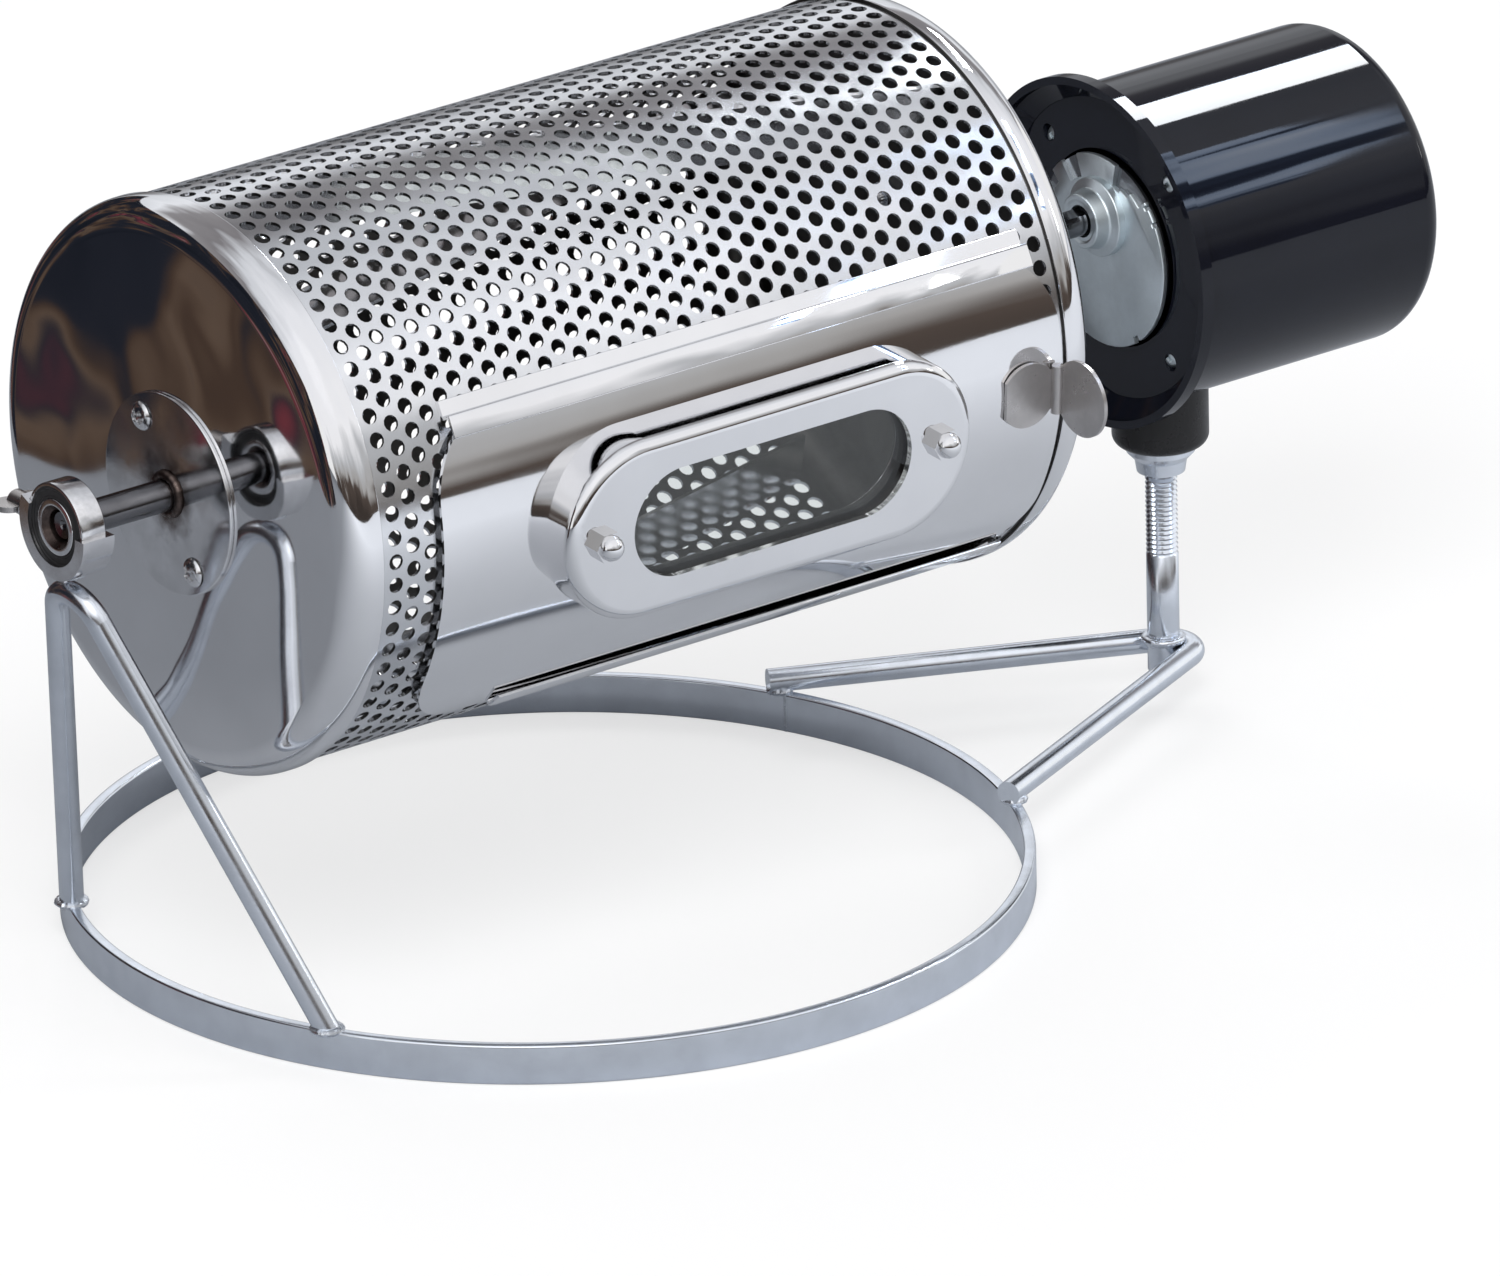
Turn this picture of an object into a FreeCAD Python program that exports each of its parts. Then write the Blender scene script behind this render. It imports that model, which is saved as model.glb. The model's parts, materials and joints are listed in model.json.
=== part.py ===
import FreeCAD, Part
import math
import os

import Sketcher

# Home coffee bean roaster: a perforated drum turned by a gear motor over a hoop stand.
# The drum axis runs along X, from the open bearing at the left to the motor at the right.
# The front is -Y, up is +Z, and the origin is on the table under the middle of the object.

# Driving sizes, in millimetres and degrees. Each one is written once, here.
SIZES = {
    # stand
    "ring_diameter": 236.0,
    "ring_bar_height": 10.0,
    "ring_bar_thick": 3.0,
    "ring_centre": 142.0,
    "rod_diameter": 6.0,
    "leg_foot_angle": 26.2,
    "leg_bend_radius": 9.0,
    "brace_foot_angle": 23.5,
    "axis_height": 132.0,
    "post_diameter": 8.0,
    "post_setback": 21.0,
    "post_foot_lift": 8.0,
    "post_fit": 0.1,
    "post_head_gap": 3.0,
    "collar_width": 17.0,
    "collar_neck": 12.0,
    "collar_height": 7.0,
    "collar_flare_start": 3.15,
    "collar_flare_end": 5.25,
    "collar_flare_lean": 0.5,
    "boss_width": 24.0,
    "boss_drop": 15.0,
    "boss_round": 3.0,
    # bearing and its saddle
    "bearing_outside": 22.0,
    "bearing_bore": 8.0,
    "bearing_width": 7.0,
    "race_wall": 1.6,
    "ball_count": 7,
    "ball_diameter": 3.97,
    "ball_play": 0.05,
    "seal_thick": 0.5,
    "seal_gap": 0.15,
    "seal_inset": 0.2,
    "cage_wall": 0.8,
    "cage_width": 5.0,
    "saddle_wall": 1.8,
    "saddle_lip": 1.0,
    "saddle_lip_reach": 1.6,
    "saddle_play": 0.05,
    "saddle_back_angle": 24.0,
    "screw_diameter": 4.0,
    "screw_seat_width": 7.0,
    "screw_seat_reach": 2.0,
    "wing_half_span": 6.8,
    "wing_depth": 7.5,
    "wing_thick": 1.4,
    "wing_hub": 5.6,
    "wing_gap": 0.4,
    # drum
    "drum_diameter": 142.0,
    "sheet_visible": 204.0,
    "sheet_wall": 0.8,
    "sheet_play": 0.1,
    "cap_skirt": 2.0,
    "cap_wall": 0.8,
    "cap_round": 8.0,
    "hub_plate_diameter": 50.0,
    "hub_plate_thick": 1.2,
    "hub_screw_circle": 39.2,
    "hub_screw_turn": 61.0,
    "hub_screw_reach": 4.5,
    "screw_play": 0.2,
    "shaft_reach": 26.0,
    "shaft_recess": 0.8,
    "shaft_fit": 0.02,
    "vane_height": 16.0,
    "vane_thick": 1.0,
    "vane_skew": 12.0,
    "vane_count": 3,
    "hole_pitch": 16.0,
    "hole_width": 9.0,
    "hole_margin": 9.0,
    # door and window
    "door_turn": -11.0,
    "door_half_angle": 35.0,
    "door_length": 185.0,
    "door_start": 16.5,
    "door_corner": 18.0,
    "door_wall": 0.8,
    "door_play": 0.4,
    "rail_length": 173.0,
    "rail_start": 23.0,
    "rail_wall": 0.8,
    "rail_lip_angle": 3.5,
    "rail_foot_angle": 3.6,
    "rail_side_angle": 0.5,
    "mouth_edge": 16.0,
    "mouth_corner": 8.0,
    "window_turn": 7.0,
    "window_offset": 2.0,
    "window_length": 121.0,
    "window_height": 46.0,
    "window_rise": 9.5,
    "window_wall": 1.6,
    "window_round": 3.0,
    "glass_opening_length": 83.0,
    "glass_opening_height": 28.0,
    "glass_thick": 3.0,
    "glass_ledge": 3.5,
    "gasket_wall": 2.0,
    "window_stud_spacing": 101.0,
    "stud_play": 0.1,
    "nut_width": 7.0,
    "nut_height": 2.6,
    "tab_flat_width": 13.5,
    "tab_flat_height": 16.5,
    "tab_rise": 19.0,
    "tab_thick": 1.0,
    "tab_roll": 3.0,
    "tab_edge_gap": 4.0,
    # drive
    "motor_gap": 52.0,
    "motor_drop": 9.0,
    "coupling_diameter": 14.0,
    "coupling_length": 30.0,
    "coupling_depth": 22.0,
    "grub_inset": 8.0,
    "motor_shaft_diameter": 7.0,
    "motor_shaft_flat": 1.0,
    "motor_shaft_fit": 0.05,
    "gearbox_diameter": 49.0,
    "gearbox_length": 17.0,
    "gearbox_plate": 1.2,
    "motor_can_diameter": 48.0,
    "motor_can_length": 24.0,
    "output_boss_diameter": 20.0,
    "output_boss_step": 15.0,
    "output_boss_height": 4.5,
    "output_nose_height": 2.0,
    "gearbox_setback": 3.4,
    "rivet_hole": 3.0,
    "rivet_reach": 14.2,
    "rivet_drop": 5.9,
    "notch_width": 5.4,
    "notch_floor": 20.6,
    "housing_diameter": 80.0,
    "housing_length": 79.0,
    "housing_wall": 2.0,
    "housing_round": 5.0,
    "flange_diameter": 88.4,
    "flange_depth": 3.5,
    "flange_flare": 2.5,
    "front_ring_setback": 6.1,
    "front_ring_thick": 2.0,
    "front_ring_gap": 0.5,
    "front_screw_circle": 66.0,
    "front_screw_length": 9.0,
    "lug_length": 10.0,
    "lug_bore_depth": 8.0,
    "grommet_diameter": 9.0,
    "grommet_drop": 22.0,
    "grommet_lip": 2.0,
}

doc = FreeCAD.newDocument("CoffeeRoaster")
sheet = doc.addObject("Spreadsheet::Sheet", "Sizes")
for row, (name, number) in enumerate(SIZES.items(), start=1):
    sheet.set("A%d" % row, name)
    sheet.set("B%d" % row, str(number))
    sheet.setAlias("B%d" % row, name)
doc.recompute()


class Size:
    """A length that knows both its number and the cell formula that it comes from."""

    def __init__(self, number, formula):
        self.number = float(number)
        self.formula = formula

    def __float__(self):
        return self.number

    def _join(self, other, sign, number):
        return Size(number, "(%s %s %s)" % (self.formula, sign, as_size(other).formula))

    def __add__(self, other):
        return self._join(other, "+", self.number + float(other))

    def __sub__(self, other):
        return self._join(other, "-", self.number - float(other))

    def __mul__(self, other):
        return self._join(other, "*", self.number * float(other))

    def __truediv__(self, other):
        return self._join(other, "/", self.number / float(other))

    def __radd__(self, other):
        return as_size(other) + self

    def __rsub__(self, other):
        return as_size(other) - self

    def __rmul__(self, other):
        return as_size(other) * self

    def __neg__(self):
        return Size(-self.number, "(0 - %s)" % self.formula)


def as_size(value):
    return value if isinstance(value, Size) else Size(value, "%s" % value)


class Cells:
    """The spreadsheet's cells by name, as sizes."""

    def __getattr__(self, name):
        return Size(float(sheet.get(name)), "Sizes.%s" % name)


c = Cells()
Vector = FreeCAD.Vector
nodes = []

# Places along the drum axis, measured from the outer face of the bearing
cap_depth = c.cap_round + c.cap_skirt
drum_left = c.bearing_width + c.shaft_reach + c.hub_plate_thick
seam_left = drum_left + cap_depth
seam_right = seam_left + c.sheet_visible
drum_right = seam_right + cap_depth
housing_front = drum_right + c.hub_plate_thick + c.motor_gap
housing_rear = housing_front + c.housing_length
post_place = housing_front + c.post_setback
leftmost = c.bearing_width / 2 - c.wing_half_span
shift = -(leftmost + housing_rear) / 2

# Radii of the drum's layers
cap_radius = c.drum_diameter / 2
sheet_radius = cap_radius - c.cap_wall - c.sheet_play
sheet_inside = sheet_radius - c.sheet_wall
door_inside = cap_radius + c.door_play
door_outside = door_inside + c.door_wall
window_face = door_outside + c.window_rise
motor_height = c.axis_height - c.motor_drop
window_angle = c.door_turn + c.window_turn
window_centre = seam_left + c.door_start + c.door_length / 2 - c.window_offset


def link(item, prop, size):
    item.setExpression(prop, as_size(size).formula)


def place(item, x=0, y=0, z=0):
    """Put an object at a place that follows the cells."""
    for axis, size in zip("xyz", (x, y, z)):
        link(item, "Placement.Base.%s" % axis, size)


def node(item, label):
    item.Label = label
    nodes.append(item)
    return item


def rod(name, diameter, length, direction, x=0, y=0, z=0, angle=None):
    """A round bar along the given direction, from its start point."""
    item = doc.addObject("Part::Cylinder", name)
    link(item, "Radius", diameter / 2)
    link(item, "Height", length)
    if angle is not None:
        link(item, "Angle", angle)
    item.Placement.Rotation = FreeCAD.Rotation(Vector(0, 0, 1), direction)
    place(item, x, y, z)
    return item


ALONG = Vector(1, 0, 0)
BACK = Vector(0, 1, 0)
UP = Vector(0, 0, 1)


def cut(name, base, tool):
    item = doc.addObject("Part::Cut", name)
    item.Base = base
    item.Tool = tool
    return item


def fuse(name, *shapes):
    item = doc.addObject("Part::MultiFuse", name)
    item.Shapes = list(shapes)
    return item


def feature(name, shape):
    """A shape that is worked out from the cells in this file."""
    item = doc.addObject("Part::Feature", name)
    item.Shape = shape
    return item


def plane(body, role):
    return [f for f in body.Origin.OriginFeatures if f.Role == role][0]


def sketch_on(body, role, name):
    sketch = body.newObject("Sketcher::SketchObject", name)
    sketch.AttachmentSupport = [(plane(body, role), "")]
    sketch.MapMode = "FlatFace"
    return sketch


def outline(sketch, corners):
    """A closed outline whose corners are tied to the cells, one pair of distances each."""
    points = [Vector(float(a), float(b), 0) for a, b in corners]
    count = len(points)
    lines = [Part.LineSegment(points[i], points[(i + 1) % count]) for i in range(count)]
    sketch.addGeometry(lines, False)
    for i in range(count):
        sketch.addConstraint(Sketcher.Constraint("Coincident", i, 2, (i + 1) % count, 1))
    for i, pair in enumerate(corners):
        for kind, size in zip(("DistanceX", "DistanceY"), pair):
            if not isinstance(size, Size) and size == 0:
                axis = -2 if kind == "DistanceX" else -1
                sketch.addConstraint(Sketcher.Constraint("PointOnObject", i, 1, axis))
                continue
            made = sketch.addConstraint(Sketcher.Constraint(kind, -1, 1, i, 1, float(size)))
            sketch.setExpression("Constraints[%d]" % made, as_size(size).formula)


def circles(sketch, rings):
    """Circles tied to the cells: each has its centre (across, up) and its diameter."""
    for across, up, diameter in rings:
        middle = Vector(float(across), float(up), 0)
        made = sketch.addGeometry(Part.Circle(middle, UP, float(diameter) / 2), False)
        held = sketch.addConstraint(Sketcher.Constraint("Diameter", made, float(diameter)))
        sketch.setExpression("Constraints[%d]" % held, as_size(diameter).formula)
        for kind, size in (("DistanceX", across), ("DistanceY", up)):
            if float(size) == 0:
                axis = -2 if kind == "DistanceX" else -1
                sketch.addConstraint(Sketcher.Constraint("PointOnObject", made, 3, axis))
                continue
            held = sketch.addConstraint(Sketcher.Constraint(kind, -1, 1, made, 3, float(size)))
            sketch.setExpression("Constraints[%d]" % held, as_size(size).formula)


def turned(label, corners, x=0, y=0, z=0, upright=False):
    """A turned body from half a section: (along, radius) pairs round the X or the Z axis."""
    body = node(doc.addObject("PartDesign::Body", label), label)
    sketch = sketch_on(body, "XZ_Plane", label + "_section")
    outline(sketch, [(r, a) for a, r in corners] if upright else corners)
    revolve = body.newObject("PartDesign::Revolution", label + "_turning")
    revolve.Profile = sketch
    revolve.ReferenceAxis = (sketch, ["V_Axis" if upright else "H_Axis"])
    revolve.Angle = 360
    place(body, x, y, z)
    return body


def rounded(body, name, radius, wanted):
    """Round the edges of a body for which the test holds."""
    doc.recompute()
    solid = body.Tip
    edges = ["Edge%d" % (i + 1) for i, edge in enumerate(solid.Shape.Edges) if wanted(edge)]
    fillet = body.newObject("PartDesign::Fillet", name)
    fillet.Base = (solid, edges)
    link(fillet, "Radius", radius)
    return fillet


def is_ring(edge, radius, axis, place_along):
    """True for a full circle of this radius at this place along the axis."""
    curve = edge.Curve
    if not isinstance(curve, Part.Circle) or abs(curve.Radius - float(radius)) > 0.01:
        return False
    return abs(curve.Center.dot(axis) - float(place_along)) < 0.01


def plate(label, outside, thick, rings, x, y, z):
    """A round plate across the axis, with round holes: (across, up, diameter)."""
    body = node(doc.addObject("PartDesign::Body", label), label)
    sketch = sketch_on(body, "YZ_Plane", label + "_outline")
    circles(sketch, [(0, 0, outside)] + rings)
    pad = body.newObject("PartDesign::Pad", label + "_pad")
    pad.Profile = sketch
    link(pad, "Length", thick)
    place(body, x, y, z)
    return body


def bent_rod(start, corner, end, bend, radius):
    """A round rod along two straight runs joined by one bend."""
    first = (start - corner).normalize()
    last = (end - corner).normalize()
    half = first.getAngle(last) / 2
    away = (first + last).normalize()
    run = bend / math.tan(half)
    entry = corner + first * run
    leave = corner + last * run
    middle = corner + away * (bend / math.sin(half) - bend)
    path = Part.Wire([
        Part.LineSegment(start, entry).toShape(),
        Part.Arc(entry, middle, leave).toShape(),
        Part.LineSegment(leave, end).toShape(),
    ])
    section = Part.Wire(Part.Circle(start, corner - start, radius).toShape())
    return path.makePipeShell([section], True, False)


def stadium(length, height):
    """A long outline with half-round ends, in the XZ plane round the origin."""
    half = (length - height) / 2
    end = height / 2
    return Part.Wire([
        Part.LineSegment(Vector(-half, 0, end), Vector(half, 0, end)).toShape(),
        Part.Arc(Vector(half, 0, end), Vector(half + end, 0, 0), Vector(half, 0, -end)).toShape(),
        Part.LineSegment(Vector(half, 0, -end), Vector(-half, 0, -end)).toShape(),
        Part.Arc(Vector(-half, 0, -end), Vector(-half - end, 0, 0), Vector(-half, 0, end)).toShape(),
    ])


def stadium_block(length, height, near, far):
    """A stadium block between two distances in front of the drum axis."""
    face = Part.Face(stadium(float(length), float(height)))
    face.translate(Vector(0, -float(far), 0))
    return face.extrude(Vector(0, float(far) - float(near), 0))


def tube_sector(name, inside, outside, length, first, last, x):
    """A piece of tube round the drum axis, between two angles up from the front."""
    outer = rod(name + "_outer", outside * 2, length, ALONG, shift + x, 0, c.axis_height, last - first)
    inner = rod(name + "_inner", inside * 2, length + 2, ALONG, shift + x - 1, 0, c.axis_height)
    for item in (outer, inner):
        spin = FreeCAD.Rotation(ALONG, -90 - float(last))
        item.Placement.Rotation = spin.multiply(FreeCAD.Rotation(BACK, 90))
    return cut(name, outer, inner)


def set_on_drum(item, angle, x):
    """Turn a shape made in front of the axis to its angle on the drum."""
    item.Placement.Rotation = FreeCAD.Rotation(ALONG, -float(angle))
    place(item, shift + x, 0, c.axis_height)
    return item


# Base hoop: a flat bar rolled on edge
hoop = rod("hoop_outer", c.ring_diameter, c.ring_bar_height, UP, shift + c.ring_centre)
hoop_hollow = rod("hoop_inner", c.ring_diameter - 2 * c.ring_bar_thick, c.ring_bar_height + 2, UP,
                  shift + c.ring_centre, 0, -1)
node(cut("base_ring", hoop, hoop_hollow), "base_ring")

# Bearing leg: one rod bent to an upturned V, with both feet standing on the hoop
ring_middle = float(c.ring_diameter - c.ring_bar_thick) / 2
rod_radius = float(c.rod_diameter) / 2
saddle_outside = c.bearing_outside / 2 + c.saddle_play + c.saddle_wall
leg_top = Vector(float(shift + c.bearing_width / 2), 0, float(c.axis_height - saddle_outside) - rod_radius)
leg_angle = math.radians(float(c.leg_foot_angle))
leg_feet = []
for side in (1, -1):
    leg_feet.append(Vector(
        float(shift + c.ring_centre) - ring_middle * math.cos(leg_angle),
        side * ring_middle * math.sin(leg_angle),
        float(c.ring_bar_height),
    ))
leg_bend = float(c.leg_bend_radius)
leg_middle = (leg_feet[0] + leg_feet[1]) * 0.5
leg_rise = (leg_top - leg_middle).normalize()
leg_spread = math.atan(leg_feet[0].y / (leg_top - leg_middle).Length)
leg_corner = leg_top + leg_rise * (leg_bend / math.sin(leg_spread) - leg_bend)
leg_ends = [foot + (foot - leg_corner).normalize() * 2 * rod_radius for foot in leg_feet]
leg_shape = bent_rod(leg_ends[0], leg_corner, leg_ends[1], leg_bend, rod_radius)
below = Part.makeBox(400, 400, 40, Vector(-300, -200, float(c.ring_bar_height) - 40))
node(feature("bearing_leg", leg_shape.cut(below)), "bearing_leg")

# Motor brace: one rod bent round the foot of the post, lying on the hoop
brace_bend = float(c.post_diameter) / 2 + rod_radius + float(c.post_fit)
brace_height = float(c.ring_bar_height) + rod_radius
brace_angle = math.radians(float(c.brace_foot_angle))
brace_feet = []
for side in (1, -1):
    brace_feet.append(Vector(
        float(shift + c.ring_centre) + ring_middle * math.cos(brace_angle),
        side * ring_middle * math.sin(brace_angle),
        brace_height,
    ))
post_centre = Vector(float(shift + post_place), 0, brace_height)
brace_reach = brace_feet[0] - post_centre
brace_spread = math.atan(brace_reach.y / -brace_reach.x) - math.asin(brace_bend / brace_reach.Length)
brace_corner = post_centre + Vector(brace_bend / math.sin(brace_spread), 0, 0)
brace_ends = [foot + (foot - brace_corner).normalize() * rod_radius for foot in brace_feet]
node(feature("motor_brace", bent_rod(brace_ends[0], brace_corner, brace_ends[1], brace_bend, rod_radius)),
     "motor_brace")

# Motor post with its collar nut, and the boss under the housing that takes it
housing_underside = motor_height - c.housing_diameter / 2
boss_bottom = housing_underside - c.boss_drop
node(rod("motor_post", c.post_diameter, boss_bottom + c.boss_drop - c.post_foot_lift - c.post_head_gap, UP,
         shift + post_place, 0, c.post_foot_lift), "motor_post")
turned("post_collar", [
    (0, c.post_diameter / 2 + c.post_fit),
    (0, c.collar_neck / 2),
    (c.collar_flare_start, c.collar_neck / 2 + c.collar_flare_lean),
    (c.collar_flare_end, c.collar_width / 2),
    (c.collar_height, c.collar_width / 2),
    (c.collar_height, c.post_diameter / 2 + c.post_fit),
], shift + post_place, 0, boss_bottom - c.collar_height, upright=True)
boss_block = rod("boss_block", c.boss_width, c.boss_drop * 2, UP, shift + post_place, 0, boss_bottom)
doc.recompute()
boss_round = doc.addObject("Part::Fillet", "boss_round")
boss_round.Base = boss_block
boss_round.Edges = [
    (i + 1, float(c.boss_round), float(c.boss_round))
    for i, edge in enumerate(boss_block.Shape.Edges)
    if edge.BoundBox.ZMax < float(boss_bottom) + 0.01
]
boss_seat = rod("boss_seat", c.housing_diameter, c.boss_width * 2, ALONG,
                shift + post_place - c.boss_width, 0, motor_height)
boss_bore = rod("boss_bore", c.post_diameter + c.post_fit * 2, c.boss_drop + 2, UP,
                shift + post_place, 0, boss_bottom - 1)
node(cut("housing_boss", cut("boss_saddle", boss_round, boss_seat), boss_bore), "housing_boss")

# Deep-groove ball bearing: rings, balls, cage and rubber seals
outer_race = c.bearing_outside / 2 - c.race_wall
inner_race = c.bearing_bore / 2 + c.race_wall
race_middle = (outer_race + inner_race) / 2
ball_radius = c.ball_diameter / 2
groove = ball_radius + c.ball_play


def race(label, wall_side, shoulder_side):
    """A bearing ring with its ball groove: a plain ring less the torus of the balls."""
    band = turned(label + "_blank", [
        (0, wall_side),
        (c.bearing_width, wall_side),
        (c.bearing_width, shoulder_side),
        (0, shoulder_side),
    ], shift, 0, c.axis_height)
    nodes.remove(band)
    torus = doc.addObject("Part::Torus", label + "_groove")
    link(torus, "Radius1", race_middle)
    link(torus, "Radius2", groove)
    torus.Placement.Rotation = FreeCAD.Rotation(BACK, 90)
    place(torus, shift + c.bearing_width / 2, 0, c.axis_height)
    node(cut(label, band, torus), label)


race("bearing_outer_ring", c.bearing_outside / 2, outer_race)
race("bearing_inner_ring", c.bearing_bore / 2, inner_race)

balls = []
ball_total = int(float(c.ball_count))
for k in range(ball_total):
    turn = 2 * math.pi * k / ball_total
    ball_at = Vector(
        float(shift + c.bearing_width / 2),
        float(race_middle) * math.cos(turn),
        float(c.axis_height) + float(race_middle) * math.sin(turn),
    )
    balls.append(Part.makeSphere(float(ball_radius), ball_at))
node(feature("bearing_balls", Part.Compound(balls)), "bearing_balls")

cage_half = float(c.cage_wall) / 2
cage_start = Vector(float(shift + (c.bearing_width - c.cage_width) / 2), 0, float(c.axis_height))
cage_length = float(c.cage_width)
cage_band = Part.makeCylinder(float(race_middle) + cage_half, cage_length, cage_start, ALONG)
cage_band = cage_band.cut(Part.makeCylinder(float(race_middle) - cage_half, cage_length, cage_start, ALONG))
for ball in balls:
    pocket = Part.makeSphere(float(groove) + float(c.ball_play), ball.CenterOfMass)
    cage_band = cage_band.cut(pocket)
node(feature("bearing_cage", cage_band), "bearing_cage")

seals = []
for start in (shift + c.seal_inset, shift + c.bearing_width - c.seal_thick - c.seal_inset):
    at = Vector(float(start), 0, float(c.axis_height))
    ring = Part.makeCylinder(float(outer_race), float(c.seal_thick), at, ALONG)
    seals.append(ring.cut(Part.makeCylinder(float(inner_race + c.seal_gap), float(c.seal_thick), at, ALONG)))
node(feature("bearing_seals", Part.Compound(seals)), "bearing_seals")

# Saddle: a half cup with a low front lip, and a screw seat on its back edge
saddle_inside = c.bearing_outside / 2 + c.saddle_play
cup_length = c.bearing_width + c.saddle_lip * 2 + c.saddle_play * 2
cup_start = -c.saddle_lip - c.saddle_play
half_turn = 180 + c.saddle_back_angle
cup = rod("cup_outer", saddle_outside * 2, cup_length, ALONG, shift + cup_start, 0, c.axis_height, half_turn)
cup_hollow = rod("cup_hollow", saddle_inside * 2, c.bearing_width + c.saddle_play * 2, ALONG,
                 shift - c.saddle_play, 0, c.axis_height)
cup_mouth = rod("cup_mouth", (saddle_inside - c.saddle_lip_reach) * 2, cup_length + 2, ALONG,
                shift + cup_start - 1, 0, c.axis_height)
for item in (cup, cup_hollow, cup_mouth):
    item.Placement.Rotation = FreeCAD.Rotation(ALONG, -90).multiply(FreeCAD.Rotation(BACK, 90))
screw_seat = rod("screw_seat", c.screw_seat_width, c.saddle_wall / 2 + c.screw_seat_reach, BACK,
                 shift + c.bearing_width / 2, saddle_outside - c.saddle_wall / 2, c.axis_height)
screw_hole = rod("screw_hole", c.screw_diameter + c.saddle_play * 2, c.saddle_wall * 4, BACK,
                 shift + c.bearing_width / 2, saddle_inside - 1, c.axis_height)
saddle_blank = fuse("saddle_blank", cup, screw_seat)
saddle_open = cut("saddle_open", cut("saddle_cup", saddle_blank, cup_hollow), cup_mouth)
node(cut("bearing_saddle", saddle_open, screw_hole), "bearing_saddle")

# Wing screw that holds the bearing in its saddle
screw_tip = float(saddle_inside) + 0.05
hub_start = float(saddle_outside + c.screw_seat_reach + c.wing_gap)
wing_depth = float(c.wing_depth)
wing_x = float(shift + c.bearing_width / 2)
screw_z = float(c.axis_height)
screw_stem = Part.makeCylinder(float(c.screw_diameter) / 2, hub_start + wing_depth * 0.5 - screw_tip,
                               Vector(wing_x, screw_tip, screw_z), BACK)
screw_hub = Part.makeCylinder(float(c.wing_hub) / 2, wing_depth * 0.7, Vector(wing_x, hub_start, screw_z), BACK)
wing_screw = screw_stem.fuse(screw_hub)
for side in (1, -1):
    lobe_radius = wing_depth / 2
    lobe_at = Vector(wing_x + side * (float(c.wing_half_span) - lobe_radius), hub_start + lobe_radius,
                     screw_z - float(c.wing_thick) / 2)
    wing_screw = wing_screw.fuse(Part.makeCylinder(lobe_radius, float(c.wing_thick), lobe_at))
node(feature("saddle_wing_screw", wing_screw.removeSplitter()), "saddle_wing_screw")

# Drum end caps: pressed discs with a round shoulder and a short skirt
turn = math.radians(float(c.hub_screw_turn))
spots = [(side * math.cos(turn), side * math.sin(turn)) for side in (1, -1)]
half_circle = float(c.hub_screw_circle) / 2
screw_size = float(c.screw_diameter)


def arc_corner(radius, bend, along):
    """The end points and the middle of a quarter bend from a flat face to a skirt."""
    lean = bend * (1 - math.sqrt(0.5))
    return (Vector(along, 0, radius - bend), Vector(along + lean, 0, radius - lean),
            Vector(along + bend, 0, radius))


def pressed_cap():
    """A cap that opens towards +X, with its outer face at the origin."""
    wall = float(c.cap_wall)
    depth = float(cap_depth)
    radius = float(cap_radius)
    bore = float(c.bearing_bore) / 2
    outer = arc_corner(radius, float(c.cap_round), 0)
    inner = arc_corner(radius - wall, float(c.cap_round) - wall, wall)
    edges = [
        Part.LineSegment(Vector(0, 0, bore), outer[0]),
        Part.Arc(*outer),
        Part.LineSegment(outer[2], Vector(depth, 0, radius)),
        Part.LineSegment(Vector(depth, 0, radius), Vector(depth, 0, radius - wall)),
        Part.LineSegment(Vector(depth, 0, radius - wall), inner[2]),
        Part.Arc(*inner),
        Part.LineSegment(inner[0], Vector(wall, 0, bore)),
        Part.LineSegment(Vector(wall, 0, bore), Vector(0, 0, bore)),
    ]
    section = Part.Face(Part.Wire([edge.toShape() for edge in edges]))
    cap = section.revolve(Vector(0, 0, 0), ALONG, 360)
    for a, b in spots:
        at = Vector(-1, half_circle * a, half_circle * b)
        cap = cap.cut(Part.makeCylinder(screw_size / 2 + float(c.screw_play), wall + 2, at, ALONG))
    return cap


left_cap = node(feature("drum_cap_left", pressed_cap()), "drum_cap_left")
place(left_cap, shift + drum_left, 0, c.axis_height)
mirrored = pressed_cap().mirror(Vector(0, 0, 0), ALONG)
right_cap = node(feature("drum_cap_right", mirrored), "drum_cap_right")
place(right_cap, shift + drum_right, 0, c.axis_height)

# Hub plates, screwed to the caps
plate_holes = [
    (c.hub_screw_circle / 2 * round(a, 5), c.hub_screw_circle / 2 * round(b, 5),
     c.screw_diameter + c.screw_play * 2)
    for a, b in spots
]
plate("hub_plate_left", c.hub_plate_diameter, c.hub_plate_thick, [(0, 0, c.bearing_bore)] + plate_holes,
      shift + drum_left - c.hub_plate_thick, 0, c.axis_height)
plate("hub_plate_right", c.hub_plate_diameter, c.hub_plate_thick, [(0, 0, c.bearing_bore)] + plate_holes,
      shift + drum_right, 0, c.axis_height)


def round_screw(head, head_height, thread, length, at, way):
    """A domed screw: its head starts at the given place and its thread runs the given way."""
    dome_radius = (head * head / 4 + head_height * head_height) / (2 * head_height)
    dome = Part.makeSphere(dome_radius, at - way * (head_height - dome_radius))
    dome = dome.common(Part.makeCylinder(head / 2, head_height, at, way * -1))
    recess = Part.makeCylinder(thread * 0.3, head_height * 0.7, at - way * head_height, way)
    return dome.cut(recess).fuse(Part.makeCylinder(thread / 2, length, at, way))


def hexagon(width, length, at, way):
    """A hexagon bar of this width across its flats."""
    corner = width / math.sqrt(3)
    bar = Part.makePolygon([
        Vector(corner * math.cos(math.pi / 3 * k), corner * math.sin(math.pi / 3 * k), 0) for k in range(7)
    ])
    solid = Part.Face(bar).extrude(UP * length)
    solid.Placement = FreeCAD.Placement(at, FreeCAD.Rotation(UP, way))
    return solid


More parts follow.
